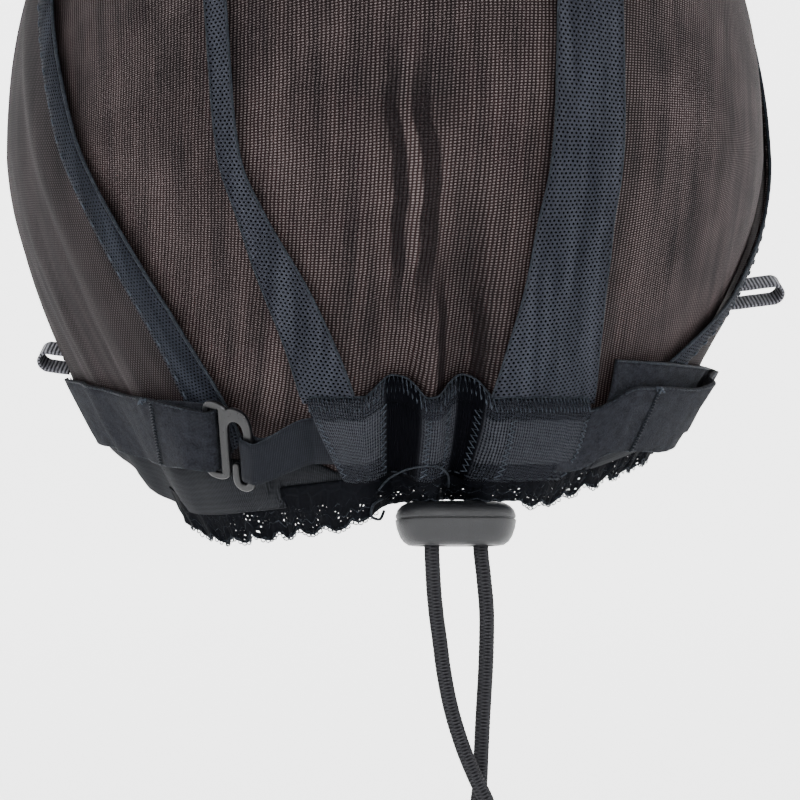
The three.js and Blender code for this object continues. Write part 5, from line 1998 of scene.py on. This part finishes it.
    def make_left_strap(self) -> None:
        """Plush strap, doubled round the hook's slot."""
        level = Profile([(-98, -134.85), (-86, -135.45), (-76, -136.05), (-60, -138), (-47, -139.05)])
        first, step = self.strap_wall / 2, GAP + self.strap_wall
        bar_x = self.slot_left - self.bar / 2
        middle = (self.slot_low + self.slot_high) / 2
        slot_half, strap_half = self.slot_height / 2 - GAP, 6.3
        on_line = lambda azimuth, lift: on_cap(azimuth, level.at(azimuth), strap_half, lift)
        path = [
            *[on_line(a, first) for a in steps(-98, -56, 5)],
            on_line(-51, first + 0.4),
            on_line(-47, first + step + 0.2),
            self.at_hook(bar_x - 4.5, middle, (slot_half + strap_half) / 2, self.strap_turn + 0.1),
            *self.turn(bar_x, middle, slot_half, self.bar / 2 + 0.4 + first, self.strap_turn, 1),
            self.at_hook(bar_x - 3.5, middle, slot_half, -self.strap_turn + 0.1),
            on_cap(-46, level.at(-47), slot_half, first + 0.15),
        ]
        self.finish_strap("left_strap", Tape(path), "strap_left", -47, 3.0)

    def finish_strap(
        self, name: str, tape: Tape, node: str, tack: float, skew: float = 0.0
    ) -> None:
        """A plush strap with its bright edge threads and its bar tack.

        Args:
            name: the piece's name.
            tape: the strap's path.
            node: the node it stands for.
            tack: azimuth of the bar tack.
            skew: how far the tack's ends lie along the strap.
        """
        strap = new_object(name, tape.mesh(0.22), self.cloths.plush)
        thicken(strap, self.strap_wall)
        dress(strap, "elastic", node)
        edges = []
        for across in (-0.985, 0.985):
            line = even(tape.edge(across, self.strap_wall * 0.38), 0.45)
            edges.append(tube(line, lambda s, n=len(line): 0.14 + 0.06 * math.sin(s * n * 2.2), 6, 0.25))
        dress(new_object(f"{name}_picots", join(edges), self.cloths.thread), "elastic")
        nearest = min(
            range(len(tape.middle) * 3 // 5),
            key=lambda i: abs(azimuth_of(tape.middle[i]) - tack),
        )
        out = tape.out(nearest)
        run = (tape.middle[nearest + 1] - tape.middle[nearest]).normalized()
        zigzag = []
        for i, across in enumerate(steps(-0.97, 0.97, 0.045)):
            along = (0.55 if i % 2 else -0.55) + skew * across
            zigzag.append(tape.at(nearest, across) + out * (self.strap_wall / 2 + 0.18) + run * along)
        dress(new_object(f"{name}_tack", tube(zigzag, 0.16, 5), self.cloths.thread), "elastic")
        knot = [
            tape.at(nearest, 0.98) + out * (0.7 + 0.5 * math.sin(i * 1.1)) + run * 0.9 * math.cos(i * 1.7)
            + Vector((0, 0, 0.5 * math.sin(i * 2.3)))
            for i in range(14)
        ]
        end = tube(catmull(knot, 3), 0.13, 5)
        dress(new_object(f"{name}_thread_end", end, self.cloths.bright_thread), "elastic")

    def make_tape(self) -> None:
        """Woven tape through the casing and round the hook's open leg."""
        leg_x = self.leg_inner + self.leg / 2
        half, level, inside = 4.0, CASING_TOP - CASING_HEIGHT / 2, 1.2
        path = [
            *[on_cap(a, level, half, inside) for a in steps(19, -18.7, 0.9)],
            on_cap(-20.7, level - 0.7, half, inside + 1.2),
            self.at_hook(leg_x + 2.6, -1.8, half, self.tape_turn),
            *self.turn(leg_x, -1.8, half, self.leg / 2 + 0.4 + self.tape_wall / 2, self.tape_turn, -1),
            self.at_hook(leg_x + 2.6, -1.8, half, -self.tape_turn + 0.1),
            on_cap(-21.1, level - 0.7, half, self.strap_wall / 2 - 0.1),
        ]
        tape = Tape(path, 3, 8)
        piece = new_object("woven_tape", tape.mesh(0.1), self.cloths.tape)
        thicken(piece, 0.45)
        dress(piece, "tape", "nape_tape")
        edges = [tube(even(tape.edge(across, 0.1), 0.8), 0.2, 6, 0.2) for across in (-0.99, 0.99)]
        dress(new_object("woven_tape_edges", join(edges), self.cloths.thread), "tape")

    def make_right_strap(self) -> None:
        """Slack plush strap with the band sewn on the cap behind it."""
        rows = (
            (26, -137.55, 0, 0), (36, -136.5, 0.4, 1.0), (47, -136.8, 0.6, 1.8), (60, -134.85, 0.4, 1.4),
            (70, -133.5, 0.1, 0.5), (84, -132.6, 0, 0), (94, -131.85, 0, 0), (102, -131.25, 0, 0),
        )
        level, low, high = (Profile([(r[0], r[k]) for r in rows]) for k in (1, 2, 3))
        above = 0.9 + GAP + self.strap_wall / 2 + 0.35
        path = [
            on_cap(20.5, CASING_TOP - CASING_HEIGHT / 2, 5.5, 1.2),
            on_cap(26.1, CASING_TOP - CASING_HEIGHT / 2 + 0.4, 5.6, 1.2),
            *[
                on_cap(a, level.at(a), 5.9, above + low.at(a), above + high.at(a))
                for a in steps(30.4, 102, 4)
            ],
        ]
        self.finish_strap("right_strap", Tape(path), "strap_right", 36.5)
        band = Profile([(28, -131.55), (37, -132), (60, -132.75), (102, -131.85)])
        strip = Tape([on_cap(a, band.at(a), 6, 0.6) for a in steps(28.4, 100, 3)], 3, 8)
        piece = new_object("band_elastic", strip.mesh(0.15), self.cloths.plush)
        thicken(piece, 0.7)
        dress(piece, "elastic", "side_band")
        line = even(strip.edge(0.98, 0.3), 0.6)
        dress(new_object("band_edge", tube(line, 0.22, 6, 0.5), self.cloths.thread), "elastic")


@dataclass
class LaceTrim:
    """Scalloped lace below the hem."""

    cloths: Cloths
    start: float = -60
    end: float = 63
    scallops: int = 21

    def depth(self, azimuth: float) -> float:
        """How far the lace hangs below the net."""
        share = (azimuth - self.start) / (self.end - self.start)
        scallop = abs(math.sin(math.pi * self.scallops * share))
        ends = smooth((azimuth - self.start) / 14) * smooth((self.end - azimuth) / 14)
        beside = smooth((abs(azimuth - 4.5) - 11) / 7)
        deeper = 1 - smooth((azimuth + 30) / 50)
        return 2.0 + beside * (0.4 + ends * (0.6 + deeper + 1.5 * scallop))

    def place(self, azimuth: float, share: float) -> Vector:
        """A point of the lace, from its scalloped edge at 0 to its sewn edge at 1."""
        rim = HEAD.rim_z(azimuth)
        z = blend(rim - GAP - self.depth(azimuth), rim + 3.4, share)
        flare = 1 - share
        broad = 0.9 * flare * hash_noise(azimuth * 0.32, share * 1.4)
        ruffle = broad + 0.5 * flare * hash_noise(azimuth * 1.1, share * 2, 3)
        return HEAD.place(azimuth, z, 1.6 + ruffle + 0.25 * flare)

    def make(self) -> None:
        """The lace ground, its outline thread and picots."""
        columns = steps(self.start, self.end, 0.32)
        mesh = grid(columns, [i / 16 for i in range(17)], self.place, lambda a, s: (a * 1.15, s * 8.0))
        piece = new_object("lace_ground", mesh, self.cloths.lace)
        thicken(piece, 0.25)
        dress(piece, "lace", "lace_trim")
        lines = []
        for share, reach in ((0.02, 0.2), (0.27, 0.16), (0.5, 0.14)):
            line = [
                self.place(a, clamp(share + 0.05 * math.sin(a * 2.7)))
                for a in steps(self.start, self.end, 0.45)
            ]
            lines.append(tube(line, reach, 5, 0.5))
        dress(new_object("lace_outline", join(lines), self.cloths.thread), "lace")
        loops = []
        for i, azimuth in enumerate(steps(self.start + 4, self.end - 4, 0.85)):
            if abs(azimuth - 4.5) < 13:
                continue
            root = self.place(azimuth, 0.03)
            out = HEAD.outward(HEAD.plain(azimuth, root.z))
            run = Vector((0, 0, 1)).cross(out).normalized()
            size = 0.5 + 0.25 * hash_noise(azimuth * 2.1, 7)
            ring = [
                root
                + run * size * math.sin(t)
                + Vector((0, 0, -size * (1 - math.cos(t)))) * 0.75
                + out * 0.2 * hash_noise(i, t)
                for t in (math.tau * k / 8 for k in range(9))
            ]
            loops.append(tube(ring, 0.11, 4))
        dress(new_object("lace_picots", join(loops), self.cloths.thread), "lace")


@dataclass
class SideLoops:
    """Ribbed ribbon loops that stand out at the sides."""

    cloths: Cloths
    width: float = 4.2
    gap: float = 4.2
    root: float = 2

    def path(self, frame: Matrix, length: float) -> list[Edge]:
        """The ribbon's way out, round and back."""
        half = self.gap / 2
        plan = [(out, half) for out in steps(-self.root, length - half, 3)]
        plan += [
            (length - half + half * math.cos(a), half * math.sin(a))
            for a in (math.radians(d) for d in range(72, -73, -24))
        ]
        plan += [(out, -half) for out in steps(length - half, -self.root, 3)]
        return [
            (lambda side, x=x, y=y: frame @ Vector((x, y, side * self.width / 2))) for x, y in plan
        ]

    def make(self) -> None:
        """Both loops."""
        for name, azimuth, level, length, swing, roll, node in (
            ("left_loop", -97, -124.6, 4.4, -10, 58, "ribbon_loop_left"),
            ("right_loop", 86, -111.7, 11.6, 4, -58, "ribbon_loop_right"),
        ):
            out = HEAD.outward(HEAD.plain(azimuth, level))
            out.z = 0.12
            out.normalize()
            out.rotate(Matrix.Rotation(math.radians(swing), 3, "Z"))
            up = (Vector((0, 0, 1)) - out * out.z).normalized()
            up.rotate(Matrix.Rotation(math.radians(roll), 3, out))
            frame = Matrix((out, up.cross(out), up)).transposed().to_4x4()
            frame.translation = HEAD.place(azimuth, level, NET_WALL)
            piece = new_object(name, Tape(self.path(frame, length), 5, 8).mesh(0.08), self.cloths.grosgrain)
            thicken(piece, 0.5)
            dress(piece, "grosgrain", node)


@dataclass
class LooseThreads:
    """Small thread ends at the gathered nape."""

    cloths: Cloths

    def make(self) -> None:
        """A looped end beside the lock and an arc of elastic above it."""
        loop = [
            (-7.4, -151.0, 1.0), (-9.3, -152.0, 2.2), (-9.8, -154.2, 2.6), (-8.4, -155.0, 2.4),
            (-7.6, -153.4, 2.0),
        ]
        arc = [
            (-8.6, -149.6, 2.4), (-6.5, -147.2, 4.2), (-3.0, -145.4, 4.9), (0.6, -145.0, 4.8),
            (3.2, -146.6, 4.6), (4.4, -149.0, 3.4),
        ]
        parts = []
        for line, radius in ((loop, 0.28), (arc, 0.2)):
            parts.append(tube(catmull([HEAD.place(a, z, lift) for a, z, lift in line], 8), radius, 6, 0.15))
        dress(new_object("thread_ends", join(parts), self.cloths.thread), "lace")


def main() -> None:
    """Builds the cap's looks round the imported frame."""
    logging.basicConfig(level=logging.INFO, format="%(message)s")
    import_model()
    studio = Studio()
    studio.aim()
    cloths = Cloths()
    cord = Drawcord(cloths)
    cord.make_cords()
    cord.make_lock()
    panels = NetPanels(cloths)
    panels.make_back()
    panels.make_front()
    panels.make_seam()
    panels.make_hems()
    Ribs(cloths).make()
    NapeCasing(cloths).make()
    hook = StrapHook(cloths)
    hook.make_hook()
    hook.make_left_strap()
    hook.make_tape()
    hook.make_right_strap()
    LaceTrim(cloths).make()
    SideLoops(cloths).make()
    LooseThreads(cloths).make()
    studio.backdrop()
    studio.light()


if __name__ == "__main__":
    main()
